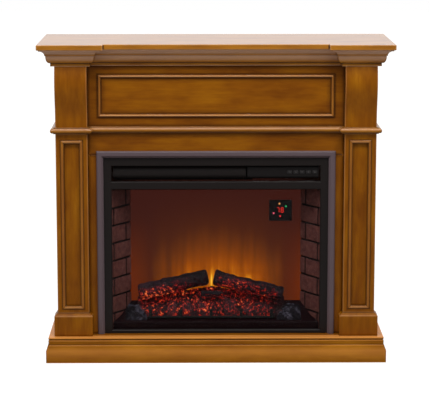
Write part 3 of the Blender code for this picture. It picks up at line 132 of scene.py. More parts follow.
def make_piece(name, parts, materials, stands_for=(), body="fireplace", sharp=SHARP):
    """One object from several parts. A part may name its material by its place in the list."""
    materials = materials if isinstance(materials, (list, tuple)) else [materials]
    points = np.concatenate([p["points"] for p in parts])
    faces, which, start = [], [], 0
    for p in parts:
        own = (p["quads"] + start).tolist() + [(np.asarray(cap) + start).tolist() for cap in p["caps"]]
        faces += own
        which += [p.get("material", 0)] * len(own)
        start += len(p["points"])
    mesh = bpy.data.meshes.new(name)
    mesh.from_pydata(points.tolist(), [], faces)
    keys = {k for p in parts for k in p if k not in ("points", "quads", "caps", "material")}
    for key in sorted(keys):
        stacked = np.concatenate([p[key] for p in parts]).astype(np.float32)
        kind = "FLOAT" if stacked.shape[1] == 1 else "FLOAT_VECTOR"
        store = mesh.attributes.new(key, kind, "POINT")
        store.data.foreach_set("value" if kind == "FLOAT" else "vector", stacked.ravel())
    for material in materials:
        mesh.materials.append(material)
    mesh.polygons.foreach_set("material_index", which)
    mesh.shade_smooth()
    mesh.set_sharp_from_angle(angle=sharp)
    made = bpy.data.objects.new(name, mesh)
    scene.collection.objects.link(made)
    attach(made, body)
    if stands_for:
        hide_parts(*([stands_for] if isinstance(stands_for, str) else stands_for))
    built[name] = len(faces)
    return made


print("edges sharper than", round(math.degrees(SHARP)), "degrees stay crisp")


# %% [markdown]
# ## Outlines with real corners
#
# No sanded board has a knife edge. Each corner of an outline becomes a small curve: it starts a little
# before the corner, is pulled towards it and leaves along the next edge (a quadratic Bezier curve). Shade is
# painted into inner corners and a highlight is painted onto outer ones, so the same function says how much
# painted light each point holds, from -1 for a painted highlight on an arris to +1 for painted shade in the
# depth of a corner.

# %% Corners: turns, rounding, painted shade and painted highlights
def mitre_steps(path, closed=True):
    """For each point of a flat path, the step that moves it one unit to the right of travel:
    (n1 + n2) / (1 + n1 . n2), with n1 and n2 the right-hand normals of the edges that meet there."""
    run = np.roll(path, -1, 0) - path
    run = run / np.maximum(np.linalg.norm(run, axis=1, keepdims=True), 1e-12)
    after = np.stack([run[:, 1], -run[:, 0]], -1)
    before = np.roll(after, 1, 0)
    if not closed:
        before[0], after[-1] = after[0], before[-1]
    return (before + after) / (1 + (before * after).sum(1, keepdims=True))


def counter_clockwise(outline):
    """The outline, turned over if it ran clockwise, so that the right of travel is outside."""
    outline = np.asarray(outline, float)
    x, y = outline[:, 0], outline[:, 1]
    area = (x * np.roll(y, -1) - np.roll(x, -1) * y).sum()
    return outline if area > 0 else outline[::-1]


PAINTED_SHADE_SPREAD = 3.5 * MM


def soften(outline, radius, spread=PAINTED_SHADE_SPREAD):
    """Round the corners of a closed outline. Returns the points, how much painted shade each holds (below 0 a
    painted highlight), and for each point the corner that it came from with that corner's mitre step."""
    outline = counter_clockwise(outline)
    steps = mitre_steps(outline)
    points, painted_shade_and_highlight, source = [], [], []
    for i, here in enumerate(outline):
        before, after = outline[i - 1], outline[(i + 1) % len(outline)]
        back, on = before - here, after - here
        a, b = np.linalg.norm(back), np.linalg.norm(on)
        back, on = back / a, on / b
        turn = math.degrees(math.atan2(-back[0] * on[1] + back[1] * on[0], -(back @ on)))
        if abs(turn) < 22:
            points.append(here)
            painted_shade_and_highlight.append(0.0)
            source.append(i)
            continue
        reach = min(radius, 0.3 * a, 0.3 * b)
        # Painted light: a highlight on outer corners, shade in inner corners.
        painted_edge_light = -np.clip(turn / 70, -1.2, 1.0)
        far = [min(spread, 0.42 * side) for side in (a, b)]
        points.append(here + back * max(far[0], reach * 1.01))
        for t in (0.0, 0.33, 0.67, 1.0):
            points.append(here + back * reach * (1 - t) ** 2 + on * reach * t ** 2)
        points.append(here + on * max(far[1], reach * 1.01))
        painted_shade_and_highlight += [0.0, painted_edge_light, painted_edge_light, painted_edge_light, painted_edge_light, 0.0]
        source += [i] * 6
    return np.array(points), np.array(painted_shade_and_highlight), outline[source], steps[source]


def arc(centre, radius, start, end, steps=8):
    """Points on a circle from one angle to another, in degrees."""
    turn = np.radians(np.linspace(start, end, steps + 1))
    return np.stack([centre[0] + radius * np.cos(turn), centre[1] + radius * np.sin(turn)], -1)


def rectangle(a0, a1, b0, b1):
    """The four corners of a rectangle, counter-clockwise."""
    return np.array([(a0, b0), (a1, b0), (a1, b1), (a0, b1)], float)


print("a softened square has", len(soften(rectangle(0, 1, 0, 1), 0.1)[0]), "points")

# %% [markdown]
# ## Boards and mouldings
#
# A board is an outline carried straight between its two faces, a little smaller at each face, so that
# the arris all round is rounded too. A moulding is cut in lengths with mitred ends, as a joiner does:
# each length is a closed part of its own, and its grain runs along it. Where two lengths meet, a hair of
# a gap stays and the glaze makes the joint a shade darker.
#
# The grain is stored as a vector at each point: distance along the grain, then the two directions across
# it. A random offset for each board makes sure that no two boards show the same figure.

# %% Boards, frames and lengths of moulding
rng = np.random.default_rng(20)
GRAIN_ORDER = {"x": [0, 2, 1], "y": [1, 2, 0], "z": [2, 0, 1]}
ARRIS = 1.2 * MM
JOINT = 0.12 * MM
JOINT_SHADOW = 1.8 * MM


def plan(a, b, h):
    """A path drawn on the floor plan, with heights along Z."""
    return np.stack([a, b, h], -1)


def upright(y):
    """A path drawn on an upright face at depth y, with heights towards the viewer."""
    return lambda a, b, h: np.stack([a, y - h, b], -1)


def along_x(a, b, h):
    """An outline drawn in (y, z), carried along X."""
    return np.stack([h, a, b], -1)


def grain(part, axis):
    """Store the distance along and across the grain of one board, from a random place in the tree."""
    part["grain"] = part["points"][:, GRAIN_ORDER[axis]] + rng.uniform(0, 30, 3)
    return part


def board(outline, low, high, place, axis=None, round_to=ARRIS, soft=ARRIS, edge=-0.8, margin=PAINTED_SHADE_SPREAD):
    """A closed outline carried from low to high, with every arris rounded.

    Near each face the outline shrinks by r (1 - sqrt(1 - (1 - d/r)^2)) at a depth d below the face. One
    more ring lies on the face itself, a little further in, where the painted light along the edge ends: a
    painted highlight on the arris where edge is below 0, painted shade along the edge where it is above 0."""
    points, painted_shade_and_highlight, corner, corner_step = soften(outline, soft)
    out = mitre_steps(points)
    share = np.array([0.0, 0.15, 0.5, 1.0])
    inset = round_to * (1 - np.sqrt(1 - (1 - share) ** 2))
    depth = round_to * share
    spread = min(max(PAINTED_SHADE_SPREAD, 1.5 * round_to), 0.3 * (high - low))
    inset, depth = np.append(inset, 0.0), np.append(depth, spread)
    # edge below 0 paints a highlight on the arris, above 0 paints shade along the edge.
    painted_edge_light = edge * np.array([1.0, 1.0, 1.0, 0.6, 0.0])
    flat = points[None] - out[None] * inset[:, None, None]
    inner = corner - corner_step * max(margin, 1.5 * round_to) + 0.05 * (points - corner)
    flat = np.concatenate([inner[None], flat, flat[::-1], inner[None]])
    heights = np.concatenate([[low], low + depth, (high - depth)[::-1], [high]])
    height = np.broadcast_to(heights[:, None], flat.shape[:2])
    side = np.minimum(painted_shade_and_highlight[None] + painted_edge_light[:, None], np.where(painted_shade_and_highlight[None] > 0, painted_shade_and_highlight[None], 1))
    flush = np.zeros((1, len(points)))
    shade = np.concatenate([flush, side, side[::-1], flush])
    made = skin(place(flat[..., 0], flat[..., 1], height), shade=shade.reshape(-1, 1))
    return grain(made, axis) if axis else made


def moulding(path, profile, place, closed=False, axes="xy", soft=0.8 * MM, painted_light=None):
    """Mitred lengths of a profile of (offset, height), one part for each straight run of the path.

    A point of the profile lies at path + offset * mitre step; between the two mitres of a length it
    moves on a straight line. axes names the two directions of the plane that the path is drawn in, and
    the last function, of offset and height, adds painted shade where it is above 0 and a painted highlight
    where it is below 0."""
    path = np.asarray(path, float)
    profile, painted_shade_and_highlight = soften(profile, soft)[:2]
    if painted_light is not None:
        painted_shade_and_highlight = np.clip(painted_shade_and_highlight + painted_light(profile[:, 0], profile[:, 1]), -1.2, 1.2)
    steps = mitre_steps(path, closed)
    count = len(path) if closed else len(path) - 1
    parts = []
    for i in range(count):
        j = (i + 1) % len(path)
        start = path[i] + profile[:, :1] * steps[i]
        end = path[j] + profile[:, :1] * steps[j]
        run = path[j] - path[i]
        length = np.linalg.norm(run)
        free = not closed and i == 0, not closed and i == count - 1
        near = np.array([JOINT, JOINT_SHADOW, length - JOINT_SHADOW, length - JOINT]) / length
        near[0] = 0.0 if free[0] else near[0]
        near[-1] = 1.0 if free[1] else near[-1]
        rings = start[None] + (end - start)[None] * near[:, None, None]
        height = np.broadcast_to(profile[:, 1], rings.shape[:2])
        seam = np.array([0.0 if free[0] else 0.7, 0, 0, 0.0 if free[1] else 0.7])
        shade = painted_shade_and_highlight[None] + seam[:, None]
        part = skin(place(rings[..., 0], rings[..., 1], height), shade=shade.reshape(-1, 1))
        axis = axes[int(np.argmax(np.abs(run)))]
        parts.append(grain(part, axis))
    return parts


print("mitre joints are", round(JOINT / MM, 2), "mm wide")


# %% [markdown]
# ## Rough surfaces
#
# Bark, moulded brick and embers need unevenness that has no repeat. One function gives soft clouds: a
# random number at every knot of a cubic lattice, blended in between, with finer layers on top. The other
# finds, for each place, the nearest and second nearest of a scatter of centres, which makes lumps with
# cracks between them.

# %% Clouds and lumps
TABLE = rng.uniform(-1, 1, (32, 32, 32))


def cloud(points, size, seed=0.0, layers=3):
    """Noise from -1 to 1 with features about `size` metres wide. Between knots a value is blended with
    3t^2 - 2t^3, and each further layer is half as wide and half as strong."""
    total, weight, sum_of = 0.0, 1.0, 0.0
    for layer in range(layers):
        at = np.asarray(points) / size * 2 ** layer + seed * 7.31 + 11.3 * layer
        cell = np.floor(at).astype(int)
        t = at - cell
        t = t * t * (3 - 2 * t)
        value = 0.0
        for dx in (0, 1):
            for dy in (0, 1):
                for dz in (0, 1):
                    near = np.abs(1 - np.array([dx, dy, dz]) - t)
                    part = near[..., 0] * near[..., 1] * near[..., 2]
                    knot = (cell + [dx, dy, dz]) % 32
                    value = value + part * TABLE[knot[..., 0], knot[..., 1], knot[..., 2]]
        total, sum_of, weight = total + weight * value, sum_of + weight, weight / 2
    return total / sum_of


def lumps(a, b, seed=0):
    """Distance to the nearest and to the second nearest centre, with one centre in each unit square,
    and a random number from -1 to 1 that belongs to the nearest one."""
    at = np.stack([a, b], -1)
    base = np.floor(at).astype(int)
    nearest, second, own = np.full(a.shape, 9.0), np.full(a.shape, 9.0), np.zeros(a.shape)
    for dx in (-1, 0, 1):
        for dy in (-1, 0, 1):
            cell = base + [dx, dy]
            pick = TABLE[cell[..., 0] % 32, cell[..., 1] % 32]
            centre = cell + 0.5 + 0.42 * pick[..., [seed % 32, (seed + 1) % 32]]
            far = np.linalg.norm(at - centre, axis=-1)
            closer = far < nearest
            second = np.where(closer, nearest, np.minimum(second, far))
            own = np.where(closer, pick[..., (seed + 2) % 32], own)
            nearest = np.where(closer, far, nearest)
    return nearest, second, own


def smooth_step(low, high, value):
    """0 below low and 1 above high, with 3t^2 - 2t^3 in between."""
    t = np.clip((value - low) / (high - low), 0, 1)
    return t * t * (3 - 2 * t)


sample = cloud(rng.uniform(0, 1, (999, 3)), 0.1)
print("cloud runs from", round(sample.min(), 2), "to", round(sample.max(), 2))

# %% [markdown]
# ## Materials
#
# Each finish is a small graph of shader nodes. Two helpers keep the recipes readable: one turns a colour
# written the way a paint chart does into linear light, the other adds a node and wires its inputs.

# %% Colours and nodes
def paint(code, strength=1.0):
    """Linear RGBA of an sRGB hex colour: ((c + 0.055) / 1.055)^2.4, or c / 12.92 near black."""
    c = np.array([int(code[i:i + 2], 16) for i in (1, 3, 5)]) / 255
    linear = np.where(c > 0.04045, ((c + 0.055) / 1.055) ** 2.4, c / 12.92) * strength
    return (*linear.tolist(), 1.0)


def node(tree, kind, inputs=None, **settings):
    """Add one shader node. An input is a value, or the output of another node to wire in."""
    made = tree.nodes.new("ShaderNode" + kind)
    for key, value in settings.items():
        setattr(made, key, value)
    for key, value in (inputs or {}).items():
        if isinstance(value, bpy.types.NodeSocket):
            tree.links.new(value, made.inputs[key])
        else:
            made.inputs[key].default_value = value
    return made


def start_material(name, **inputs):
    """A new material with a Principled shader. Returns the material, its tree and its shader."""
    material = bpy.data.materials.new(name)
    material.use_nodes = True
    tree = material.node_tree
    tree.nodes.clear()
    shader = node(tree, "BsdfPrincipled", {key.replace("_", " "): v for key, v in inputs.items()})
    node(tree, "OutputMaterial", {"Surface": shader.outputs[0]})
    return material, tree, shader


def ramp(tree, factor, *stops):
    """Colours along a factor: each stop is a place from 0 to 1 and a hex colour."""
    made = node(tree, "ValToRGB", {"Fac": factor})
    marks = made.color_ramp.elements
    while len(marks) < len(stops):
        marks.new(0.5)
    for mark, (place, code) in zip(marks, stops):
        mark.position = place
        mark.color = paint(code)
    return made.outputs[0]


def maths(tree, operation, a, b=0.0, c=0.0):
    """One arithmetic step between two or three values."""
    return node(tree, "Math", {0: a, 1: b, 2: c}, operation=operation).outputs[0]


def blend(tree, factor, a, b, mode="MIX"):
    """Mix two colours."""
    made = node(tree, "Mix", {0: factor, 6: a, 7: b}, data_type="RGBA", blend_type=mode)
    return made.outputs[2]


def noise(tree, vector, scale, detail=3.0, roughness=0.55, stretch=None):
    """Smooth noise with `scale` features to a metre, along a vector that may be stretched first."""
    if stretch:
        vector = node(tree, "VectorMath", {0: vector, 1: stretch}, operation="MULTIPLY").outputs[0]
    inputs = {"Vector": vector, "Scale": scale, "Detail": detail, "Roughness": roughness}
    return node(tree, "TexNoise", inputs).outputs[0]


def stored(tree, name, output="Fac"):
    """A value that the mesh stores at its points."""
    return node(tree, "Attribute", attribute_name=name).outputs[output]


def place_of(tree):
    """The position in the piece's own coordinates, in metres."""
    return node(tree, "TexCoord").outputs["Object"]


def bump(tree, shader, height, distance, strength=1.0):
    """Tilt the surface by a height that is `distance` metres high where the value is 1."""
    made = node(tree, "Bump", {"Height": height, "Distance": distance, "Strength": strength})
    tree.links.new(made.outputs[0], shader.inputs["Normal"])


print("a mid brown in linear light:", np.round(paint("#8a4e05")[:3], 3))

# %% [markdown]
# ## Stained wood
#
# The mantel is hardwood and veneer, wiped with a warm brown stain and sprayed with satin lacquer. Three
# things make the look: soft blotches a hand wide, where the wood drank more or less stain; streaks along
# the grain; and painted light, with painted shade darker in the recesses and a painted highlight lighter on
# the arrises and rounds. The blotches are longer along the grain than across it. Streaks in such wood are
# about a millimetre wide. Here they are four times as wide, because finer ones would blur away at the size
# that the fireplace is looked at.

# %% The wood finish
def stained_wood(name, warmth=0.0, highlight_strength=1.0, coat=0.07, open_pores=0.6, painted_edge_light_code="#cc9560"):
    """Stain, streaks, painted shade and painted highlights, and lacquer, read along the stored grain."""
    material, tree, shader = start_material(
        name, Roughness=0.36, Specular_IOR_Level=0.10, Coat_Weight=coat, Coat_Roughness=0.20)
    along = stored(tree, "grain", "Vector")
    blotch = noise(tree, along, 1.0, 3.0, 0.55, (7.0, 17.0, 17.0))
    figure = noise(tree, along, 1.0, 4.0, 0.6, (9.0, 60.0, 60.0))
    streak = noise(tree, along, 1.0, 2.0, 0.5, (14.0, 240.0, 240.0))
    level = maths(tree, "MULTIPLY_ADD", blotch, 0.62, maths(tree, "MULTIPLY_ADD", figure, 0.42, -0.04))
    level = maths(tree, "MULTIPLY_ADD", streak, 0.16, level)
    level = maths(tree, "ADD", level, warmth - 0.13)
    stain = ramp(tree, level, (0.20, "#663403"), (0.42, "#804804"), (0.58, "#8f5605"), (0.80, "#a86b10"))
    shade = stored(tree, "shade")
    # Painted shade: a shade above 0 darkens the stain towards #2a1003 in recesses and along joints.
    joint_and_painted_shade = maths(tree, "MULTIPLY", maths(tree, "MAXIMUM", shade, 0.0), 0.85)
    stain = blend(tree, joint_and_painted_shade, stain, paint("#2a1003"))
    # Painted highlight: a shade below 0 lightens the stain towards the highlight colour on arrises and
    # rounds.
    highlight_amount = maths(tree, "MAXIMUM", maths(tree, "MULTIPLY", shade, -1.0), 0.0)
    painted_edge_light = maths(tree, "MULTIPLY", highlight_amount, 0.42 * highlight_strength)
    stain = blend(tree, painted_edge_light, stain, paint(painted_edge_light_code))
    tree.links.new(stain, shader.inputs["Base Color"])
    bump(tree, shader, streak, 0.12 * MM, open_pores)
    return material


# Birch veneer and hardwood under satin lacquer.
wood = stained_wood("stained_hardwood")
# The same stain on the beads, with a stronger painted highlight on the rounds.
bead_wood = stained_wood("stained_bead_wood", 0.04, 1.6, 0.25)
# The crown and the collar, polished with one more coat, with a pale greyish painted reflection on the rounds.
moulded_wood = stained_wood("stained_moulding", 0.24, 1.8, 0.45, 0.4, "#d8b29a")
# The base, stained a little warmer, with an orange painted highlight along its top step.
base_wood = stained_wood("stained_base", 0.14, 1.4, 0.04, 0.4, "#e89a4c")
# The shelf has the fullest coat, which fills the pores, so it is nearly flat.
shelf_wood = stained_wood("stained_shelf", 0.25, 1.0, 0.85, 0.02)
print("wood finishes:", wood.name, bead_wood.name, moulded_wood.name, base_wood.name, shelf_wood.name)

# %% [markdown]
# ## The mantel's plan
#
# Everything above the plinths follows one plan: from the left back corner forward, across the left
# pilaster, back to the frieze, across it and round the right side again. The frieze stands 25 mm behind
# the pilasters, which is the breakfront. The mouldings are mitred round this path.

# %% Measures read from the CAD pieces
def edges(node_name):
    """The low and high corner of a CAD node as two arrays."""
    low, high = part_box(node_name)
    return np.array(low), np.array(high)


shelf_low, shelf_high = edges("shelf_top")
frieze_low, frieze_high = edges("frieze_panel")
OVERHANG = 50 * MM
GAP = 0.3 * MM
BODY_HALF = shelf_high[0] - OVERHANG
PILASTER_INNER = frieze_high[0] + GAP
PILASTER_FACE = shelf_low[1] + OVERHANG
SURROUND_FACE = frieze_low[1]
BOARD_BACK = frieze_high[1]
BACK = shelf_high[1]
SHELF_UNDER, SHELF_TOP = shelf_low[2], shelf_high[2]
CROWN_BOTTOM = edges("crown_moulding")[0][2]
COLLAR_BOTTOM, COLLAR_TOP = edges("collar_moulding")[0][2], edges("collar_moulding")[1][2]
PLINTH_TOP = edges("plinth_right")[1][2]
BASE_TOP = edges("base_board")[1][2]

half_plan = [(PILASTER_INNER, SURROUND_FACE), (PILASTER_INNER, PILASTER_FACE),
             (BODY_HALF, PILASTER_FACE), (BODY_HALF, BACK)]
BODY_PLAN = np.array([(-x, y) for x, y in half_plan[::-1]] + half_plan)
print("body plan in mm:", (BODY_PLAN / MM).round().tolist())

# %% [markdown]
# ## Shelf, crown, collar and base
#
# The shelf is a slab with a breakfront. Under it the crown steps in: a cove, an ovolo and a fillet. The
# collar is an astragal, a half round with a fillet above and below. The base has two steps, with a slope
# between them and a scored line under its top edge. All have softened arrises, because a sprayed
# lacquer rounds off whatever the sander left.

# %% The shelf
shelf_plan = BODY_PLAN + mitre_steps(BODY_PLAN, False) * OVERHANG
make_piece("shelf_slab", [board(shelf_plan, SHELF_UNDER, SHELF_TOP, plan, "x", 1.8 * MM, 2.5 * MM)],
           shelf_wood, "shelf_top")
print("shelf outline:", len(shelf_plan), "points")

# %% The crown moulding
CROWN_TOP = SHELF_UNDER - GAP
COVE_TOP, COVE_LIP = OVERHANG - 6 * MM, CROWN_TOP - 3 * MM
COVE_FOOT = (26.4 * MM, SHELF_UNDER - 19 * MM)
OVOLO_OUT, OVOLO_TOP = 24 * MM, COVE_FOOT[1] - 3 * MM
FILLET_OUT, OVOLO_FOOT = 11 * MM, CROWN_BOTTOM + 10 * MM
turn = np.radians(np.linspace(9, 90, 10))
cove = np.stack([COVE_TOP - (COVE_TOP - COVE_FOOT[0]) * np.sin(turn),
                 COVE_LIP - (COVE_LIP - COVE_FOOT[1]) * (1 - np.cos(turn))], -1)
reach = OVOLO_OUT - FILLET_OUT - 2 * MM
ovolo = np.stack([OVOLO_OUT - reach * (1 - np.cos(turn)),
                  OVOLO_TOP - (OVOLO_TOP - OVOLO_FOOT) * np.sin(turn)], -1)
crown_profile = np.concatenate([
    [(GAP, CROWN_TOP), (COVE_TOP, CROWN_TOP), (COVE_TOP, COVE_LIP)], cove,
    [(OVOLO_OUT, COVE_FOOT[1]), (OVOLO_OUT, OVOLO_TOP)], ovolo,
    [(FILLET_OUT, OVOLO_FOOT), (FILLET_OUT, CROWN_BOTTOM), (GAP, CROWN_BOTTOM)]])


def crown_painted_light(out, height):
    """A painted reflection on the cove's upper half, a painted highlight on the roll below it, and painted
    shade under the lip and over the fillet.
    """
    cove_light = -0.85 * smooth_step(COVE_FOOT[1] + 2 * MM, COVE_LIP - 5 * MM, height) * (out > 25 * MM)
    roll_light = -0.65 * smooth_step(OVOLO_FOOT + 2 * MM, OVOLO_TOP, height)
    roll_light = roll_light * (height < COVE_FOOT[1] + 0.5 * MM)
    return cove_light + roll_light + 0.5 * (np.abs(height - CROWN_BOTTOM) < 4 * MM)


crown = moulding(BODY_PLAN, crown_profile, plan, painted_light=crown_painted_light)
make_piece("crown", crown, moulded_wood, "crown_moulding")
print("crown:", len(crown), "lengths")

# %% The collar
NOSE = (COLLAR_TOP - COLLAR_BOTTOM) / 2
COLLAR_OUT = 14.5 * MM
flat_at = COLLAR_OUT - NOSE + 3 * MM
turn = np.radians(np.linspace(-90, 90, 15))
nose = np.stack([flat_at + (COLLAR_OUT - flat_at) * np.cos(turn),
                 COLLAR_BOTTOM + NOSE + (NOSE - 2.5 * MM) * np.sin(turn)], -1)
quirk = flat_at - 2 * MM
collar_profile = np.concatenate([
    [(GAP, COLLAR_BOTTOM), (quirk, COLLAR_BOTTOM), (quirk, COLLAR_BOTTOM + 2.5 * MM)], nose,
    [(quirk, COLLAR_TOP - 2.5 * MM), (quirk, COLLAR_TOP), (GAP, COLLAR_TOP)]])


def collar_painted_light(out, height):
    """A faint painted highlight on the upper part of the nose, painted shade on its lower part and in the
    quirks above and below.
    """
    upper = smooth_step(COLLAR_BOTTOM + 4 * MM, COLLAR_TOP - 6 * MM, height)
    return np.where(out > flat_at - 0.5 * MM, -0.24 * upper + 0.35 * (1 - upper), 0.9)


collar = moulding(BODY_PLAN, collar_profile, plan, painted_light=collar_painted_light)
make_piece("collar", collar, moulded_wood, "collar_moulding")
print("collar:", len(collar), "lengths")

# %% The base moulding and the board in it
base_plan = np.array([(-BODY_HALF, BACK), (-BODY_HALF, PILASTER_FACE),
                      (BODY_HALF, PILASTER_FACE), (BODY_HALF, BACK)])
LOWER_OUT, UPPER_OUT = 35 * MM, 27.6 * MM
LOWER_TOP, SLOPE_TOP = 38 * MM, 54 * MM
GROOVE = BASE_TOP - 6.5 * MM
REBATE = BASE_TOP - 18.3 * MM
base_profile = np.array([
    (-16 * MM, 0), (LOWER_OUT, 0), (LOWER_OUT, LOWER_TOP), (UPPER_OUT + 1.5 * MM, SLOPE_TOP),
    (UPPER_OUT, SLOPE_TOP + 1.5 * MM), (UPPER_OUT, GROOVE - 2 * MM), (UPPER_OUT - 3 * MM, GROOVE),
    (UPPER_OUT, GROOVE + 2 * MM), (UPPER_OUT, BASE_TOP), (GAP, BASE_TOP), (GAP, REBATE), (-16 * MM, REBATE)])


def base_painted_light(out, height):
    """A painted highlight along the top step and the slope, and painted shade in the scored line and at the
    floor.
    """
    step = -1.0 * smooth_step(BASE_TOP - 4 * MM, BASE_TOP - 1 * MM, height)
    slope = -0.55 * (np.abs(height - LOWER_TOP) < 5 * MM)
    return step + slope + 0.5 * (height < 1 * MM) + 0.6 * (np.abs(height - GROOVE) < 2.5 * MM)


base_lengths = moulding(base_plan, base_profile, plan, soft=1.5 * MM, painted_light=base_painted_light)
make_piece("base_frame", base_lengths, base_wood, "base_moulding")
base_outline = rectangle(-BODY_HALF, BODY_HALF, PILASTER_FACE, BACK)
make_piece("base_shelf", [board(base_outline, REBATE + GAP, BASE_TOP, plan, "x", 0.6 * MM)],
           wood, "base_board")
print("faces so far:", built)

# %% [markdown]
# ## Frieze, header and stiles
#
# These are flat boards behind the pilasters. The frieze carries a raised frame of bead, a half round
# between two fillets, mitred at its four corners.

# %% Boards of the surround
def plain_board(name, cad_node, axis, finish=wood, round_to=ARRIS, edge=0.55, margin=9 * MM):
    """A board with the size of its CAD node, seen from the front, with rounded arrises. It butts against
    its neighbours, so shade is painted along its edges; an edge below 0 paints a highlight on its arrises
    instead."""
    low, high = edges(cad_node)
    outline = rectangle(low[0], high[0], low[2], high[2])
    part = board(outline, -high[1], -low[1], upright(0.0), axis, round_to, edge=edge, margin=margin)
    return make_piece(name, [part], finish, cad_node)


plain_board("header_board", "surround_header", "x")
for side in ("left", "right"):
    plain_board(f"stile_{side}", f"surround_stile_{side}", "z")
print("surround: header and stiles")

# %% The frieze: rings of rectangles, with painted shade at its edges, under the crown and the collar, and where the bead frame stands on it
def rectangle_ring(low, high, inset, y):
    """A closed ring on an upright face: inset is the margin left, right, at the foot and at the top."""
    left, right, foot, top = np.broadcast_to(inset, 4)
    corners = rectangle(low[0] + left, high[0] - right, low[2] + foot, high[2] - top)
    return np.stack([corners[:, 0], np.full(4, y), corners[:, 1]], -1)


def ring_stack(name, low, high, stack, axis, cad_node):
    """A board from a list of rings, each an inset, a depth and how much painted shade it holds (below 0 a
    painted highlight).
    """
    rings = [rectangle_ring(low, high, inset, y) for inset, y, _ in stack]
    part = grain(skin(rings, shade=np.repeat([s for _, _, s in stack], 4)), axis)
    return make_piece(name, [part], wood, cad_node)


low, high = edges("frieze_panel")
bead_low, bead_high = edges("frieze_bead")
margin = np.array([bead_low[0] - low[0], high[0] - bead_high[0],
                   bead_low[2] - low[2], high[2] - bead_high[2]])
hidden = np.array([0, 0, COLLAR_TOP - low[2], high[2] - CROWN_BOTTOM])
near = np.where(hidden > 0, hidden, 0)
face = low[1]
ring_stack("frieze_board", low, high, [
    (0, high[1], 0), (0, face + 1 * MM, 0.3), (0.3 * MM, face, 0.5), (near, face, 0.85),
    (near + 9 * MM, face, 0.1), (margin - 7 * MM, face, 0.1), (margin, face, 1.0),
    (margin + 10 * MM, face, 1.0), (margin + 15 * MM, face, 0.35), (margin + 26 * MM, face, 0.0)],
    "x", "frieze_panel")
print("frieze board from", round(low[2] / MM), "to", round(high[2] / MM), "mm")

# %% Beads: a half round between two fillets
def bead_profile(proud, sunk):
    """Offset inwards and height of a 10 mm bead that rises `proud` above the face."""
    bow = np.radians(np.linspace(0, 180, 13))
    round_part = np.stack([5 * MM - 3.6 * MM * np.cos(bow), 1.5 * MM + (proud - 1.5 * MM) * np.sin(bow)], -1)
    return np.concatenate([[(0, -sunk), (0, 1.5 * MM)], round_part, [(10 * MM, 1.5 * MM), (10 * MM, -sunk)]])


def bead_frame(name, x0, x1, z0, z1, proud, sunk, face, cad_node, bead_highlight=1.0):
    """Four mitred lengths of bead round a rectangle on an upright face. The light falls from above, so the
    painted highlight is stronger on the level lengths than on the upright ones."""
    path = np.array([(x0, z0), (x0, z1), (x1, z1), (x1, z0)])

    def painted_light(out, height):
        """A painted highlight on top of the round, painted shade in the corners beside it."""
        return -bead_highlight * smooth_step(0.45 * proud, 0.95 * proud, height) + 0.9 * (height < 1.6 * MM)

    parts = moulding(path, bead_profile(proud, sunk), upright(face), True, "xz", 0.4 * MM, painted_light)
    # The upright lengths keep only a weak painted highlight.
    for length in (parts[0], parts[2]):
        length["shade"] = np.maximum(length["shade"], -0.25 * bead_highlight)
    return make_piece(name, parts, bead_wood, cad_node)


low, high = edges("frieze_bead")
bead_frame("frieze_frame", low[0], high[0], low[2], high[2], 7 * MM, 0.0, SURROUND_FACE - GAP,
           "frieze_bead", bead_highlight=0.75)
print("frieze bead:", round((high[0] - low[0]) / MM), "mm wide")

# %% [markdown]
# ## Pilasters and plinths
#
# The upper pilaster has a bombe front: it runs up straight above the collar, swells forward by 18 mm and
# draws in again under the crown. The swell is half a cosine wave, the neck a quarter of one. The lower
# pilaster is flat, with a sunk panel that a bead frames. The plinth below stands 10 mm proud of it and
# has a bevelled top.

# %% The upper pilasters
FRIEZE = CROWN_BOTTOM - COLLAR_TOP
SWELL_FROM, SWELL_CREST = COLLAR_TOP + 0.12 * FRIEZE, COLLAR_TOP + 0.70 * FRIEZE
SWELL, NECK = 18 * MM, 8 * MM
share = np.linspace(0, 1, 33)[1:]
rise = np.stack([PILASTER_FACE - SWELL * (1 - np.cos(np.pi * share)) / 2,
                 SWELL_FROM + (SWELL_CREST - SWELL_FROM) * share], -1)
share = np.linspace(0, 1, 17)[1:]
draw_in = np.stack([PILASTER_FACE - SWELL + (SWELL - NECK) * (1 - np.cos(np.pi / 2 * share)),
                    SWELL_CREST + (CROWN_BOTTOM - GAP - SWELL_CREST) * share], -1)
block_top = SHELF_UNDER - GAP
bombe = np.concatenate([
    [(BOARD_BACK, COLLAR_BOTTOM + GAP), (PILASTER_FACE, COLLAR_BOTTOM + GAP), (PILASTER_FACE, SWELL_FROM)],
    rise, draw_in,
    [(PILASTER_FACE, CROWN_BOTTOM - GAP), (PILASTER_FACE, block_top), (BOARD_BACK, block_top)]])
for side, sign in (("left", -1), ("right", 1)):
    low, high = edges(f"upper_pilaster_{side}")
    part = board(bombe, low[0], high[0], along_x, "z", 1.5 * MM)
    make_piece(f"bombe_{side}", [part], wood, f"upper_pilaster_{side}")
print("upper pilasters swell from", round(SWELL_FROM / MM), "to", round(SWELL_CREST / MM), "mm")

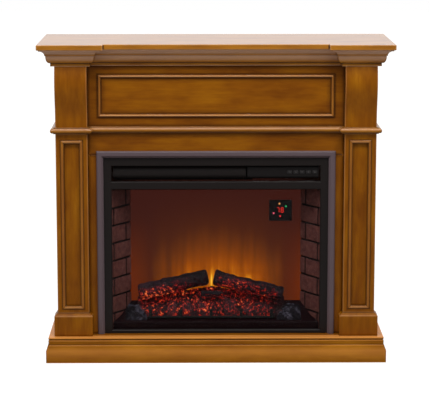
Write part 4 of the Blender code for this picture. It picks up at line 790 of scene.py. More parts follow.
# %% The lower pilasters and their beads
POCKET_SIDE, POCKET_TOP, POCKET_FOOT, POCKET_DEPTH = 14.5 * MM, 19 * MM, 12 * MM, 8 * MM
for side in ("left", "right"):
    low, high = edges(f"lower_pilaster_{side}")
    pocket = np.array([POCKET_SIDE - GAP, POCKET_SIDE - GAP, POCKET_FOOT - GAP, POCKET_TOP])
    face, bottom = low[1], low[1] + POCKET_DEPTH
    # Painted highlight on the front arris, painted shade along the pocket's edge and down in it.
    stack = [(0, high[1], 0), (0, face + 5 * MM, 0), (0, face + ARRIS, -0.6),
             (0.35 * MM, face + 0.35 * MM, -0.8), (ARRIS, face, -0.6), (4 * MM, face, 0),
             (pocket - 3 * MM, face, 0), (pocket - 0.3 * MM, face, 0.7),
             (pocket, face + 0.3 * MM, 0.8), (pocket, bottom, 0.9), (pocket + 10 * MM, bottom, 0.9),
             (pocket + 14 * MM, bottom, 0.0)]
    ring_stack(f"pilaster_{side}", low, high, stack, "z", f"lower_pilaster_{side}")
    low, high = edges(f"pilaster_bead_{side}")
    bead_frame(f"panel_bead_{side}", low[0], high[0], low[2], high[2], 3 * MM, POCKET_DEPTH - GAP,
               PILASTER_FACE, f"pilaster_bead_{side}", bead_highlight=0.5)
print("lower pilasters: pockets", round(POCKET_DEPTH / MM), "mm deep")

# %% The plinths
PLINTH_OUT, PLINTH_CROWN, PLINTH_BEVEL = 10 * MM, 1 * MM, 8.5 * MM


def plinth(name, sign, cad_node):
    """A block notched at its inner back corner; its outline grows outwards at the front and the side."""
    inner = PILASTER_INNER + GAP
    notch = SURROUND_FACE - GAP
    corners = np.array([(inner - GAP, PILASTER_FACE), (BODY_HALF, PILASTER_FACE), (BODY_HALF, BOARD_BACK),
                        (inner, BOARD_BACK), (inner, notch), (inner - GAP, notch)])
    growth = np.array([(-1, -1), (1, -1), (1, 0), (0, 0), (0, 0), (-1, 0)], float)
    top = PLINTH_TOP
    # Painted shade at the foot and under the pilaster, a painted highlight on the bevel's edge.
    stack = [(PLINTH_OUT - 0.6 * MM, BASE_TOP + GAP, 0.7), (PLINTH_OUT, BASE_TOP + GAP + 2 * MM, 0.3),
             (PLINTH_OUT, BASE_TOP + 8 * MM, 0), (PLINTH_OUT, top - PLINTH_BEVEL - 4 * MM, 0),
             (PLINTH_OUT, top - PLINTH_BEVEL - 0.8 * MM, -0.6),
             (PLINTH_OUT - 0.7 * MM, top - PLINTH_BEVEL + 0.6 * MM, -0.6),
             (PLINTH_OUT - 3 * MM, top - PLINTH_BEVEL + 2.6 * MM, 0),
             (PLINTH_CROWN + 1 * MM, top - 0.8 * MM, 0.3),
             (PLINTH_CROWN, top, 0.7)]
    rings = []
    for out, z, _ in stack:
        ring = corners + growth * out
        rings.append(np.stack([ring[:, 0] * sign, ring[:, 1], np.full(6, z)], -1))
    shade = np.repeat([s for _, _, s in stack], 6)
    part = grain(skin(rings, shade=shade), "z")
    return make_piece(name, [part], wood, cad_node)


for side, sign in (("left", -1), ("right", 1)):
    plinth(f"plinth_block_{side}", sign, f"plinth_{side}")
print("plinths stand", round(PLINTH_OUT / MM), "mm out")

# %% The sides and the back rail
# The sides get a faint painted highlight on their arrises.
for side in ("left", "right"):
    plain_board(f"side_board_{side}", f"side_panel_{side}", "z", edge=-0.3)
plain_board("rail_board", "back_rail", "x")
print("mantel pieces:", len(built), "with", sum(built.values()), "faces")

# %% [markdown]
# ## The heater insert: trim and face
#
# The insert is a sheet-metal box behind a pressed black face. A bevelled bar in gunmetal powder coat
# frames the face on three sides. Powder coat flows before it sets, so its corners are soft and its
# surface has a faint orange peel.

# %% Metal finishes
def powder_coat(name, code, roughness, level=0.35, peel=0.05):
    """Sprayed and baked powder: one colour, a soft shine and a fine orange peel."""
    material, tree, shader = start_material(
        name, Base_Color=paint(code), Roughness=roughness, Specular_IOR_Level=level)
    bump(tree, shader, noise(tree, place_of(tree), 260.0, 2.0), peel * MM, 0.5)
    return material


def sheet_metal(name, code, roughness, spangle=0.0):
    """Bare or galvanised sheet: metallic, with the zinc's crystals as patches of lighter and darker grey."""
    material, tree, shader = start_material(name, Roughness=roughness, Metallic=0.85)
    flakes = node(tree, "TexVoronoi", {"Vector": place_of(tree), "Scale": 90.0}).outputs["Color"]
    grey = node(tree, "SeparateXYZ", {0: flakes}).outputs[0]
    level = maths(tree, "MULTIPLY_ADD", grey, spangle, 1.0 - spangle / 2)
    tone = node(tree, "VectorMath", {0: paint(code)[:3], 1: (1, 1, 1)}, operation="MULTIPLY").outputs[0]
    made = node(tree, "VectorMath", {0: tone, "Scale": level}, operation="SCALE").outputs[0]
    tree.links.new(made, shader.inputs["Base Color"])
    return material


gunmetal = powder_coat("gunmetal_powder_coat", "#5a4b4f", 0.38)          # the trim bar
black_coat = powder_coat("black_powder_coat", "#1c1716", 0.40, 0.16)     # the face, the hood and the ceiling
galvanised = sheet_metal("galvanised_sheet", "#a9abae", 0.42, 0.35)      # the casing behind the mantel
plated = sheet_metal("plated_steel", "#8f9092", 0.30, 0.05)              # motor cans and screws
bright = sheet_metal("bright_aluminium", "#d8d8da", 0.22, 0.05)          # foil flags and heater fins


def moulded(name, code, roughness=0.5, level=0.25):
    """Moulded plastic or rubber with the faint grain of its tool."""
    material, tree, shader = start_material(
        name, Base_Color=paint(code), Roughness=roughness, Specular_IOR_Level=level)
    bump(tree, shader, noise(tree, place_of(tree), 400.0, 1.0), 0.03 * MM, 0.4)
    return material


black_plastic = moulded("black_plastic", "#141010", 0.45, 0.18)
button_plastic = moulded("button_plastic", "#242121", 0.42)
rubber = moulded("gland_rubber", "#181818", 0.75, 0.15)
solder_mask = moulded("solder_mask", "#1d5a32", 0.35, 0.4)
icon_print = moulded("grey_print", "#504c4a", 0.6, 0.2)
print("materials:", len(bpy.data.materials))


# %% Finish for CAD pieces that keep their own shape
def finish_cad(material, slot, *names):
    """Give CAD nodes a procedural finish through their material slots. Their meshes stay as they are."""
    for each in names:
        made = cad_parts[each]
        made.data.materials.clear()
        made.data.materials.append(material)


finish_cad(black_coat, "black_steel", "face_frame", "firebox_ceiling", "outlet_hood")
finish_cad(galvanised, "galvanised_steel", "casing_side_left", "casing_side_right", "casing_floor",
           "casing_top", "rear_cover", "fixing_bracket_left", "fixing_bracket_right", "spinner_bearing",
           "blower_housing")
finish_cad(plated, "motor_steel", "spinner_motor", "blower_motor")
finish_cad(bright, "bright_aluminium", "flame_spinner", "heater_element")
finish_cad(black_plastic, "black_plastic", "control_panel", "blower_wheel")
finish_cad(solder_mask, "circuit_board", "flame_led_board", "ember_led_board", "control_board")
finish_cad(rubber, "gland_rubber", "cord_inlet")
print("sheet metal, motors and boards finished")

# %% The trim bar
trim_low, trim_high = edges("trim_frame")
TRIM_BACK = trim_high[1]
trim_path = np.array([(trim_low[0], trim_low[2]), (trim_low[0], trim_high[2]),
                      (trim_high[0], trim_high[2]), (trim_high[0], trim_low[2])])
trim_profile = np.array([(0, 0), (0, 6.5 * MM), (3 * MM, 9.5 * MM),
                         (14 * MM, 9.5 * MM), (21 * MM, 3 * MM), (21 * MM, 0)])
make_piece("trim_bar", moulding(trim_path, trim_profile, upright(TRIM_BACK), axes="xz", soft=0.9 * MM),
           gunmetal, "trim_frame")
print("trim bar profile:", len(trim_profile), "points")

# %% [markdown]
# ## Behind the hood
#
# A black sheet behind the hood is painted shade: it stands in for the shade inside the outlet and closes the
# view past the hood's edges, so that the slot under it reads as a dark line and the heater's bright fins stay
# out of sight. It is two flat strips in one piece: a ledge under the hood and a tab behind the gap between
# the hood and the control panel.

# %% The black sheet that stands in for shade behind the hood
hood_low, hood_high = edges("outlet_hood")
outlet_foot, outlet_head = hood_low[2] - 10 * MM, hood_high[2]
SHADE_SHEET_FRONT, SHADE_SHEET_BACK = -78.4 * MM, -78.0 * MM
LEDGE_END = 84 * MM
TAB_START = 84.5 * MM
TAB_END = 112 * MM
ledge = board(rectangle(hood_low[0], LEDGE_END, outlet_foot, outlet_foot + 13 * MM),
              -SHADE_SHEET_BACK, -SHADE_SHEET_FRONT, upright(0.0), "x", 0.1 * MM, 0.5 * MM)
tab = board(rectangle(TAB_START, TAB_END, outlet_foot, outlet_head), -SHADE_SHEET_BACK, -SHADE_SHEET_FRONT,
            upright(0.0), "z", 0.1 * MM, 0.5 * MM)
make_piece("outlet_shade_sheet", [ledge, tab], black_coat)
print("baffle from", round(outlet_foot / MM), "to", round(outlet_head / MM), "mm")

# %% [markdown]
# ## Screws
#
# Pan-head screws hold the rear cover to the casing's flanges and the two brackets to the base board. Only
# the heads show. Each is a few rings of twelve points: up the rim, over the dome and down into the drive.

# %% Screw heads
def screw_head(x, y, z, facing):
    """Rings of radius r at a height h over the seat, for a head that faces +Y or +Z."""
    rings = []
    turn = np.linspace(0, 2 * np.pi, 12, endpoint=False)
    for r, h in ((4.0, -0.2), (4.0, 0.9), (3.5, 1.5), (2.4, 1.8), (1.7, 1.85), (1.2, 0.7)):
        a, b, level = r * MM * np.cos(turn), r * MM * np.sin(turn), np.full(12, h * MM)
        shape = (a, level, b) if facing == "y" else (a, b, level)
        rings.append(np.stack(shape, -1) + [x, y, z])
    return skin(rings)


low, high = edges("rear_cover")
SCREW_INSET = 7 * MM
across = np.linspace(low[0] + SCREW_INSET, high[0] - SCREW_INSET, 5)
up = np.linspace(low[2] + SCREW_INSET, high[2] - SCREW_INSET, 4)
places = [(x, z) for x in across for z in (up[0], up[-1])]
places += [(x, z) for x in (across[0], across[-1]) for z in up[1:-1]]
make_piece("cover_screws", [screw_head(x, high[1], z, "y") for x, z in places], plated)
heads = []
for side, sign in (("left", -1), ("right", 1)):
    low, high = edges(f"fixing_bracket_{side}")
    middle = (low + high) / 2
    heads.append(screw_head(middle[0] + sign * 2 * MM, middle[1], low[2] + 2 * MM, "z"))
make_piece("bracket_screws", heads, plated)
print("screw heads:", len(places) + len(heads))

# %% [markdown]
# ## Push buttons
#
# Five small keys stand through the control panel. Each is a moulded cap with a slightly domed face, and
# carries a plain grey symbol: a power sign, a flame, a lamp with rays, rising heat and a clock. A symbol
# is made of strokes: a flat line swept along a path, a fifth of a millimetre proud of the cap.

# %% Strokes and key caps
def stroke(path, x, z, y, size, closed=False, width=0.55 * MM):
    """A flat bar along a path: at each point the outline goes half the width left and right of it."""
    path = np.asarray(path, float) * size + [x, z]
    step = mitre_steps(path, closed) * width / 2
    rings = []
    for side, lift in ((1, 0), (1, 0.2), (-1, 0.2), (-1, 0)):
        at = path + step * side
        rings.append(upright(0.0)(at[:, 0], at[:, 1], np.full(len(at), -y + lift * MM)))
    return skin(np.stack(rings, 1), looped=closed)


def ring_path(radius, start=0, end=360, steps=20, middle=(0, 0)):
    """Points round a circle, leaving out the last one if it closes."""
    points = arc(middle, radius, start, end, steps)
    return points[:-1] if end - start >= 360 else points


wave = np.stack([0.16 * np.sin(np.linspace(0, 2 * np.pi, 13)), np.linspace(-0.8, 0.8, 13)], -1)
rays = [np.array([(0.62 * math.cos(a), 0.62 * math.sin(a)), (0.95 * math.cos(a), 0.95 * math.sin(a))])
        for a in np.radians(np.arange(0, 360, 60))]
turn = np.linspace(0, 2 * np.pi, 24, endpoint=False)
flame_path = np.stack([0.62 * np.sin(turn) * (1 - 0.45 * np.cos(turn)), -0.15 + 0.8 * np.cos(turn)], -1)
SYMBOLS = {
    "power": [(ring_path(0.75, 125, 415), False), (np.array([(0, 0.15), (0, 1.0)]), False)],
    "flame": [(flame_path, True)],
    "dimmer": [(ring_path(0.38), True)] + [(ray, False) for ray in rays],
    "heat": [(wave + [dx, 0], False) for dx in (-0.55, 0, 0.55)],
    "timer": [(ring_path(0.85), True), (np.array([(0, 0.5), (0, 0), (0.4, -0.2)]), False)],
}
DOME = 0.5 * MM


def key_cap(low, high, x, z):
    """A cap with a rounded plan and a domed face, on a thin flange: rings of rounded rectangles."""
    cap_w, cap_h, rim = 14 * MM, 9 * MM, 1.5 * MM
    front, back = low[1], high[1]
    seat = front + 3.8 * MM
    stack = [(back, rim), (seat + 0.1 * MM, rim), (seat, rim - 0.1 * MM), (seat, 0.0),
             (front + DOME + 0.6 * MM, 0.0), (front + DOME + 0.1 * MM, -0.15 * MM),
             (front + DOME - 0.15 * MM, -0.6 * MM), (front + 0.2 * MM, -1.6 * MM),
             (front + 0.08 * MM, -2.6 * MM), (front + 0.05 * MM, -3.6 * MM)]
    rings = []
    for y, grow in stack:
        w, h = cap_w / 2 + grow, cap_h / 2 + grow
        corner = np.clip(2.2 * MM + grow, 0.5 * MM, min(w, h) * 0.9)
        outline = np.concatenate([arc((sx * (w - corner), sz * (h - corner)), corner, a, a + 90, 5)
                                  for sx, sz, a in ((1, 1, 0), (-1, 1, 90), (-1, -1, 180), (1, -1, 270))])
        rings.append(np.stack([outline[:, 0] + x, np.full(len(outline), y), outline[:, 1] + z], -1))
    return skin(rings)


for key, marks in SYMBOLS.items():
    low, high = edges(f"button_{key}")
    x, z = (low[0] + high[0]) / 2, (low[2] + high[2]) / 2
    body = f"{key}_key"
    make_piece(f"{key}_cap", [key_cap(low, high, x, z)], button_plastic,
               f"button_{key}", body)
    strokes = [stroke(path, x, z, low[1] + 0.2 * MM, 2.3 * MM, closed) for path, closed in marks]
    make_piece(f"{key}_symbol", strokes, icon_print, (), body)
print("key caps:", len(SYMBOLS))

# %% [markdown]
# ## The glass
#
# A clear pane closes the firebox. It is nearly invisible from the front, so its shader lets almost all
# light through and keeps only a trace of dark tint.

# %% Glass
glass, tree, shader = start_material(
    "clear_glass", Base_Color=(0.01, 0.01, 0.01, 1), Roughness=0.06, Specular_IOR_Level=0.3, Alpha=0.05)
finish_cad(glass, "clear_glass", "glass_pane")
print("glass pane finished")

# %% [markdown]
# ## Brick walls
#
# The two splayed side walls are moulded panels with a pattern of brick. The surface is a fine grid: its
# two directions are the depth into the firebox and the height. Each point is pushed back by the mortar
# groove if it is near a joint, and by soft noise elsewhere. The courses shift by half a brick, so the
# upright joints sit near the front in one course and near the middle in the next.

# %% Brick panels
glass_high = edges("glass_pane")[1]
screen_low = edges("flame_screen")[0]
FIREBOX_FRONT = glass_high[1] + GAP
SCREEN_FRONT = screen_low[1]
OPENING_HALF, OPENING_TOP = 317.5 * MM, 527.5 * MM
SPLAY = 55 * MM
COURSE, TOP_COURSE = 55 * MM, 62.5 * MM
MORTAR_HALF, GROOVE_DEPTH = 3.0 * MM, 3.0 * MM


def wall_half(y):
    """Half the clear width between the splayed walls at a depth: it falls by 55 mm over the firebox."""
    return OPENING_HALF - SPLAY * (y - FIREBOX_FRONT) / (80 * MM)


def brick_panel(side, sign):
    """A relief: groove = depth * (1 - smooth step of the distance to the nearest joint)."""
    low, high = edges(f"brick_panel_{side}")
    y, z = np.meshgrid(np.linspace(low[1], high[1], 66), np.linspace(low[2], high[2], 340), indexing="ij")
    place = np.stack([y * 0 + sign, y, z], -1)
    drift = 1.1 * MM * cloud(place, 30 * MM, 3)
    down = OPENING_TOP - TOP_COURSE - z + drift
    course = np.floor(down / COURSE)
    level = np.abs((down / COURSE) - np.round(down / COURSE)) * COURSE
    joint_y = np.where(course % 2 == 0, -86 * MM, -35 * MM)
    across = np.abs(y - joint_y + 1.2 * MM * cloud(place, 25 * MM, 5))
    top = down < -COURSE * 0.3
    level = np.where(down < -MORTAR_HALF * 3, 1.0, level)
    gap = np.minimum(level, across * 1.1)
    groove = 1 - smooth_step(MORTAR_HALF * 0.75, MORTAR_HALF * 1.3, gap)
    rough = 0.25 * MM * cloud(place, 9 * MM, 8, 4)
    depth = groove * GROOVE_DEPTH + rough * (1 - groove) + 0.3 * MM
    x = wall_half(y) + GAP + depth
    front = np.stack([sign * x, y, z], -1)
    back = np.stack([sign * (wall_half(y) + GAP + 6.5 * MM), y, z], -1)
    tone = 0.5 + 0.5 * np.take(TABLE[5, 7], (course + 2 * (across > 0)).astype(int) % 32)
    part = sheet_between(front, back, mortar=groove, tone=tone)
    return part


brick, tree, shader = start_material("moulded_brick", Roughness=0.85, Specular_IOR_Level=0.15)
spots = noise(tree, place_of(tree), 70.0, 4.0, 0.6)
body = ramp(tree, spots, (0.30, "#4a2826"), (0.50, "#5c3530"), (0.72, "#6c423b"))
colour = blend(tree, stored(tree, "mortar"), body, paint("#0a0606"))
tree.links.new(colour, shader.inputs["Base Color"])
bump(tree, shader, spots, 0.5 * MM, 0.6)
for side, sign in (("left", -1), ("right", 1)):
    make_piece(f"brick_wall_{side}", [brick_panel(side, sign)], brick,
               f"brick_panel_{side}", sharp=1.2)
print("firebox from", round(FIREBOX_FRONT / MM), "to", round(SCREEN_FRONT / MM), "mm in Y")

# %% [markdown]
# ## The flame screen
#
# Behind the logs stands a frosted acrylic sheet. A row of lamps shines up its back through turning foil
# flags, so the light is strongest behind the logs, breaks into soft upright wisps and fades towards the
# top and the sides. The screen is therefore a picture made of light: a height above the logs, bent by
# upright streaks of noise, sets the warmth of the glow.

# %% Flames on the screen
def between(tree, value, low, high):
    """A value's share of the way from low to high, kept within 0 and 1. Low may be the larger one."""
    inputs = {"Value": value, "From Min": low, "From Max": high, "To Min": 0.0, "To Max": 1.0}
    return node(tree, "MapRange", inputs).outputs[0]


flame, tree, shader = start_material("frosted_acrylic", Roughness=0.75, Specular_IOR_Level=0.05)
shader.inputs["Base Color"].default_value = paint("#0e0705")
where = node(tree, "SeparateXYZ", {0: place_of(tree)})
x, z = where.outputs[0], where.outputs[2]
LOG_LINE = 0.262
wisps = noise(tree, place_of(tree), 1.0, 3.0, 0.55, (32.0, 1.0, 3.2))
broad = noise(tree, place_of(tree), 1.0, 2.0, 0.5, (9.0, 1.0, 2.0))
x_off = maths(tree, "SUBTRACT", x, 0.005)
spread = maths(tree, "MULTIPLY", x_off, x_off)
fall = between(tree, z, 0.515, LOG_LINE)
reach = maths(tree, "MULTIPLY_ADD", spread, -14.0, 0.76)
reach = maths(tree, "MAXIMUM", reach, 0.14)
bottom = maths(tree, "POWER", maths(tree, "MAXIMUM", fall, 0.0), 2.7)
lively = maths(tree, "MULTIPLY_ADD", wisps, 1.6, maths(tree, "MULTIPLY_ADD", broad, 0.7, -0.42))
lively = maths(tree, "MAXIMUM", lively, 0.12)
heat = maths(tree, "MULTIPLY", maths(tree, "MULTIPLY", bottom, reach), lively)
soft = maths(tree, "MULTIPLY", maths(tree, "MULTIPLY", maths(tree, "MAXIMUM", fall, 0.0), 0.16), reach)
heat = maths(tree, "ADD", maths(tree, "ADD", heat, soft), 0.055)


def spot(x0, z0, rx, rz, strength):
    """strength * max(0, 1 - ((x - x0) / rx)^2 - ((z - z0) / rz)^2): the light of one lamp on the sheet."""
    dx = maths(tree, "DIVIDE", maths(tree, "SUBTRACT", x, x0), rx)
    dz = maths(tree, "DIVIDE", maths(tree, "SUBTRACT", z, z0), rz)
    square = maths(tree, "ADD", maths(tree, "MULTIPLY", dx, dx), maths(tree, "MULTIPLY", dz, dz))
    inside = maths(tree, "MAXIMUM", maths(tree, "SUBTRACT", 1.0, square), 0.0)
    return maths(tree, "MULTIPLY", inside, strength)


LAMPS = ((-0.014, 0.216, 0.024, 0.046, 0.26), (0.118, 0.224, 0.030, 0.026, 0.14),
         (-0.12, 0.222, 0.09, 0.036, 0.10), (0.10, 0.222, 0.09, 0.030, 0.10))
for each in LAMPS:
    heat = maths(tree, "ADD", heat, maths(tree, "MULTIPLY", spot(*each), lively))
light = ramp(tree, heat, (0.0, "#30140f"), (0.05, "#3c1813"), (0.18, "#4c2110"), (0.34, "#6a320d"),
             (0.55, "#8c4206"), (0.75, "#a85407"), (0.92, "#d98412"), (1.0, "#ffc840"))
sides = between(tree, maths(tree, "ABSOLUTE", x), 0.19, 0.262)
low_down = between(tree, z, 0.42, 0.22)
red_edge = maths(tree, "MULTIPLY", maths(tree, "MULTIPLY", sides, low_down), 0.7)
light = blend(tree, red_edge, light, paint("#6c2606"))
tree.links.new(light, shader.inputs["Emission Color"])
shader.inputs["Emission Strength"].default_value = 1.0
finish_cad(flame, "flame_acrylic", "flame_screen")
print("flames on the screen")

# %% [markdown]
# ## The tray
#
# A folded black tray closes the firebox below: a lip behind the glass, a narrow shelf and the ramp that
# carries the embers. Its ends follow the splayed walls.

# %% Tray
tray_low, tray_high = edges("floor_tray")
LIP_Y, LIP_Z = tray_low[1], 108.5 * MM
SHELF_END, SHELF_Z = LIP_Y + 33 * MM, 123 * MM
RAMP_BACK, RAMP_Z = tray_high[1], tray_high[2]


def tray_height(y):
    """Height of the tray's upper surface at a depth: two straight slopes."""
    return np.interp(y, [LIP_Y, SHELF_END, RAMP_BACK], [LIP_Z, SHELF_Z, RAMP_Z])


WALL = 3 * MM
tray_line = np.array([
    (LIP_Y, tray_low[2]), (LIP_Y, LIP_Z), (SHELF_END, SHELF_Z), (RAMP_BACK, RAMP_Z),
    (RAMP_BACK, RAMP_Z - WALL), (SHELF_END, SHELF_Z - WALL), (LIP_Y + WALL, LIP_Z - WALL),
    (LIP_Y + WALL, tray_low[2])])
line, _, _, _ = soften(tray_line, 2.0 * MM)
half = wall_half(line[:, 0]) - GAP
rings = np.stack([np.stack([sign * half, line[:, 0], line[:, 1]], -1) for sign in (-1, 1)])
tray_plastic, tree, shader = start_material(
    "tray_black", Base_Color=paint("#130507"), Roughness=0.34, Specular_IOR_Level=0.08)
bump(tree, shader, noise(tree, place_of(tree), 300.0, 2.0), 0.05 * MM, 0.5)
make_piece("tray", [skin(rings)], tray_plastic, "floor_tray")
print("tray outline:", len(line), "points")

# %% [markdown]
# ## Embers
#
# The ember bed is a thin translucent moulding, painted as ash and charcoal on top. Red lamps under it
# shine through wherever the paint is thin, which is between the lumps. Its surface is a height over a
# fine grid: rounded lumps of two sizes. The mesh stores how much light comes through each place, most in
# the cracks between lumps, and the material draws fine glowing threads that follow it.

# %% The ember bed
ember_low, ember_high = edges("ember_bed")
EMBER_LEFT, EMBER_RIGHT = ember_low[0] - 2 * MM, ember_high[0] + 2 * MM
EMBER_FRONT, EMBER_BACK = ember_low[1], ember_high[1]


def ember_surface(x0, x1, y0, y1, nx, ny, heap, seed, fade):
    """Height = tray + heap over the bed + lumps. `fade` brings the lumps down to nothing at the rim."""
    x, y = np.meshgrid(np.linspace(x0, x1, nx), np.linspace(y0, y1, ny), indexing="ij")
    u, v = (x - x0) / (x1 - x0), (y - y0) / (y1 - y0)
    at = np.stack([x, y, x * 0], -1)
    warp, warp2 = 7 * MM * cloud(at, 20 * MM, seed + 1), 7 * MM * cloud(at, 20 * MM, seed + 5)
    near, second, own = lumps((x + warp) / (21 * MM), (y * 1.5 + warp2) / (21 * MM), seed)
    near2, second2, own2 = lumps((x - warp2) / (8.5 * MM), (y * 1.5 + warp) / (8.5 * MM), seed + 3)
    big = np.clip(1 - near ** 2 * 1.6, 0, 1) * (0.65 + 0.35 * own)
    small = np.clip(1 - near2 ** 2 * 1.8, 0, 1) * (0.6 + 0.4 * own2)
    rim = smooth_step(0, fade, u) * smooth_step(0, fade, 1 - u) * smooth_step(0, 0.12, v + 0.04)
    bumps = 7.5 * MM * big + 2.8 * MM * small + 1.2 * MM * cloud(at, 5 * MM, seed + 2)
    top = tray_height(y) + heap(u, v) + rim * bumps
    thin = 0.5 + 0.5 * cloud(at, 12 * MM, seed + 7)
    crack = 1 - smooth_step(0.0, 0.10 + 0.30 * thin, second - near)
    fine = 1 - smooth_step(0.0, 0.08 + 0.42 * thin, second2 - near2)
    return x, y, top, crack, fine, own, u, v


def heap_of_embers(u, v):
    """Low at the ends and heaped in the middle: (15 + 26 cos^2) mm times a rising curve, and 1 mm."""
    middle = np.cos((u - 0.5) * np.pi) ** 2
    rise = np.interp(v, [0, 0.06, 0.25, 0.5, 0.75, 1.0], [0.05, 0.26, 0.54, 0.76, 0.92, 0.98])
    return (15 * MM + 26 * MM * middle) * rise + 1 * MM


x, y, top, crack, fine, own, u, v = ember_surface(
    EMBER_LEFT, EMBER_RIGHT, EMBER_FRONT, EMBER_BACK, 420, 90, heap_of_embers, 2, 0.02)
patch = cloud(np.stack([x, y, x * 0], -1), 45 * MM, 9) * 0.5 + 0.5
glow = (0.34 + 0.66 * np.maximum(0.8 * crack, fine)) * (0.20 + 1.05 * patch)
glow = glow * smooth_step(0.0, 0.10, u + 0.05) * smooth_step(0.0, 0.14, 1 - u)
front = np.stack([x, y, top], -1)
back = np.stack([x, y, tray_height(y) + 0.5 * MM], -1)
bed = sheet_between(front, back, glow=np.clip(glow, 0, 1), tone=0.5 + 0.5 * own)



def sparks(tree, coarse, fine, strength):
    """Glowing threads: 1 - k |n - 0.5| is 1 where a noise crosses its middle and 0 off that line. Two
    such nets are laid over each other, and a third noise makes them flare up and die down."""
    nets = []
    for scale, sharpness in ((coarse, 13.0), (fine, 10.0)):
        cloudy = noise(tree, place_of(tree), scale, 2.0, 0.6)
        off = maths(tree, "ABSOLUTE", maths(tree, "SUBTRACT", cloudy, 0.5))
        nets.append(maths(tree, "MAXIMUM", maths(tree, "MULTIPLY_ADD", off, -sharpness, 1.0), 0.0))
    net = maths(tree, "MAXIMUM", nets[0], nets[1])
    flare = noise(tree, place_of(tree), 95.0, 2.0, 0.6)
    flare = maths(tree, "MAXIMUM", maths(tree, "MULTIPLY_ADD", flare, 5.5, -2.15), 0.0)
    return maths(tree, "MULTIPLY", maths(tree, "MULTIPLY", net, flare), strength)


ember, tree, shader = start_material("ember_resin", Roughness=0.7, Specular_IOR_Level=0.12)
tone, lit = stored(tree, "tone"), stored(tree, "glow")
spots = noise(tree, place_of(tree), 160.0, 3.0, 0.6)
ash = ramp(tree, maths(tree, "MULTIPLY_ADD", spots, 0.6, maths(tree, "MULTIPLY", tone, 0.4)),
           (0.28, "#060304"), (0.55, "#140b0d"), (0.80, "#301c20"))
tree.links.new(ash, shader.inputs["Base Color"])
power = maths(tree, "MULTIPLY", lit, sparks(tree, 58.0, 120.0, 1.10))
fire = ramp(tree, power, (0.0, "#0c0202"), (0.15, "#2c0505"), (0.40, "#780e08"), (0.62, "#c42c10"),
            (0.84, "#ff6c2c"), (1.0, "#ffb868"))
tree.links.new(fire, shader.inputs["Emission Color"])
shader.inputs["Emission Strength"].default_value = 1.0
bump(tree, shader, spots, 0.8 * MM, 0.7)
make_piece("embers", [bed], ember, "ember_bed", sharp=1.4)
print("embers rise to", round(top.max() / MM), "mm")

# %% [markdown]
# At both ends the bed runs out in cold ash: lumps of the same moulding, but painted grey and blue-grey,
# with no light under them.

# %% Cold ash at the ends
def heap_of_ash(u, v):
    """A low mound, highest a third of the way back."""
    along = np.sin(np.pi * np.clip(u, 0, 1)) ** 0.6
    return 13 * MM * along * np.sin(np.pi * np.clip(0.1 + 0.8 * v, 0, 1)) + 0.6 * MM


ash_paint, tree, shader = start_material("cold_ash", Roughness=0.9, Specular_IOR_Level=0.1)
spots = noise(tree, place_of(tree), 130.0, 4.0, 0.65)
level = maths(tree, "MULTIPLY_ADD", spots, 0.75, maths(tree, "MULTIPLY", stored(tree, "tone"), 0.3))
tree.links.new(ramp(tree, level, (0.36, "#0a0709"), (0.56, "#1b171c"), (0.72, "#3a3741"), (0.88, "#66646f")),
               shader.inputs["Base Color"])
bump(tree, shader, spots, 1.0 * MM, 0.8)
for name, x0, x1, seed in (("ash_left", -280 * MM, -212 * MM, 11), ("ash_right", 188 * MM, 264 * MM, 15)):
    x, y, top, crack, fine, own, u, v = ember_surface(
        x0, x1, LIP_Y + 8 * MM, EMBER_BACK - 16 * MM, 90, 90, heap_of_ash, seed, 0.16)
    limit = wall_half(y) - 3 * MM
    x = np.clip(x, -limit, limit)
    grid = sheet_between(np.stack([x, y, top], -1), np.stack([x, y, tray_height(y) + 0.5 * MM], -1),
                         tone=0.5 + 0.5 * own)
    make_piece(name, [grid], ash_paint, sharp=1.4)
print("ash at both ends")

# %% [markdown]
# ## Logs
#
# Two moulded logs lean against each other over the embers, with a short one between them. Each is a
# tube of rings round its axis. Bark is noise that is stretched along the log, so that it breaks into
# long plates with cracks between them. The ends are sawn nearly flat and rounded over.

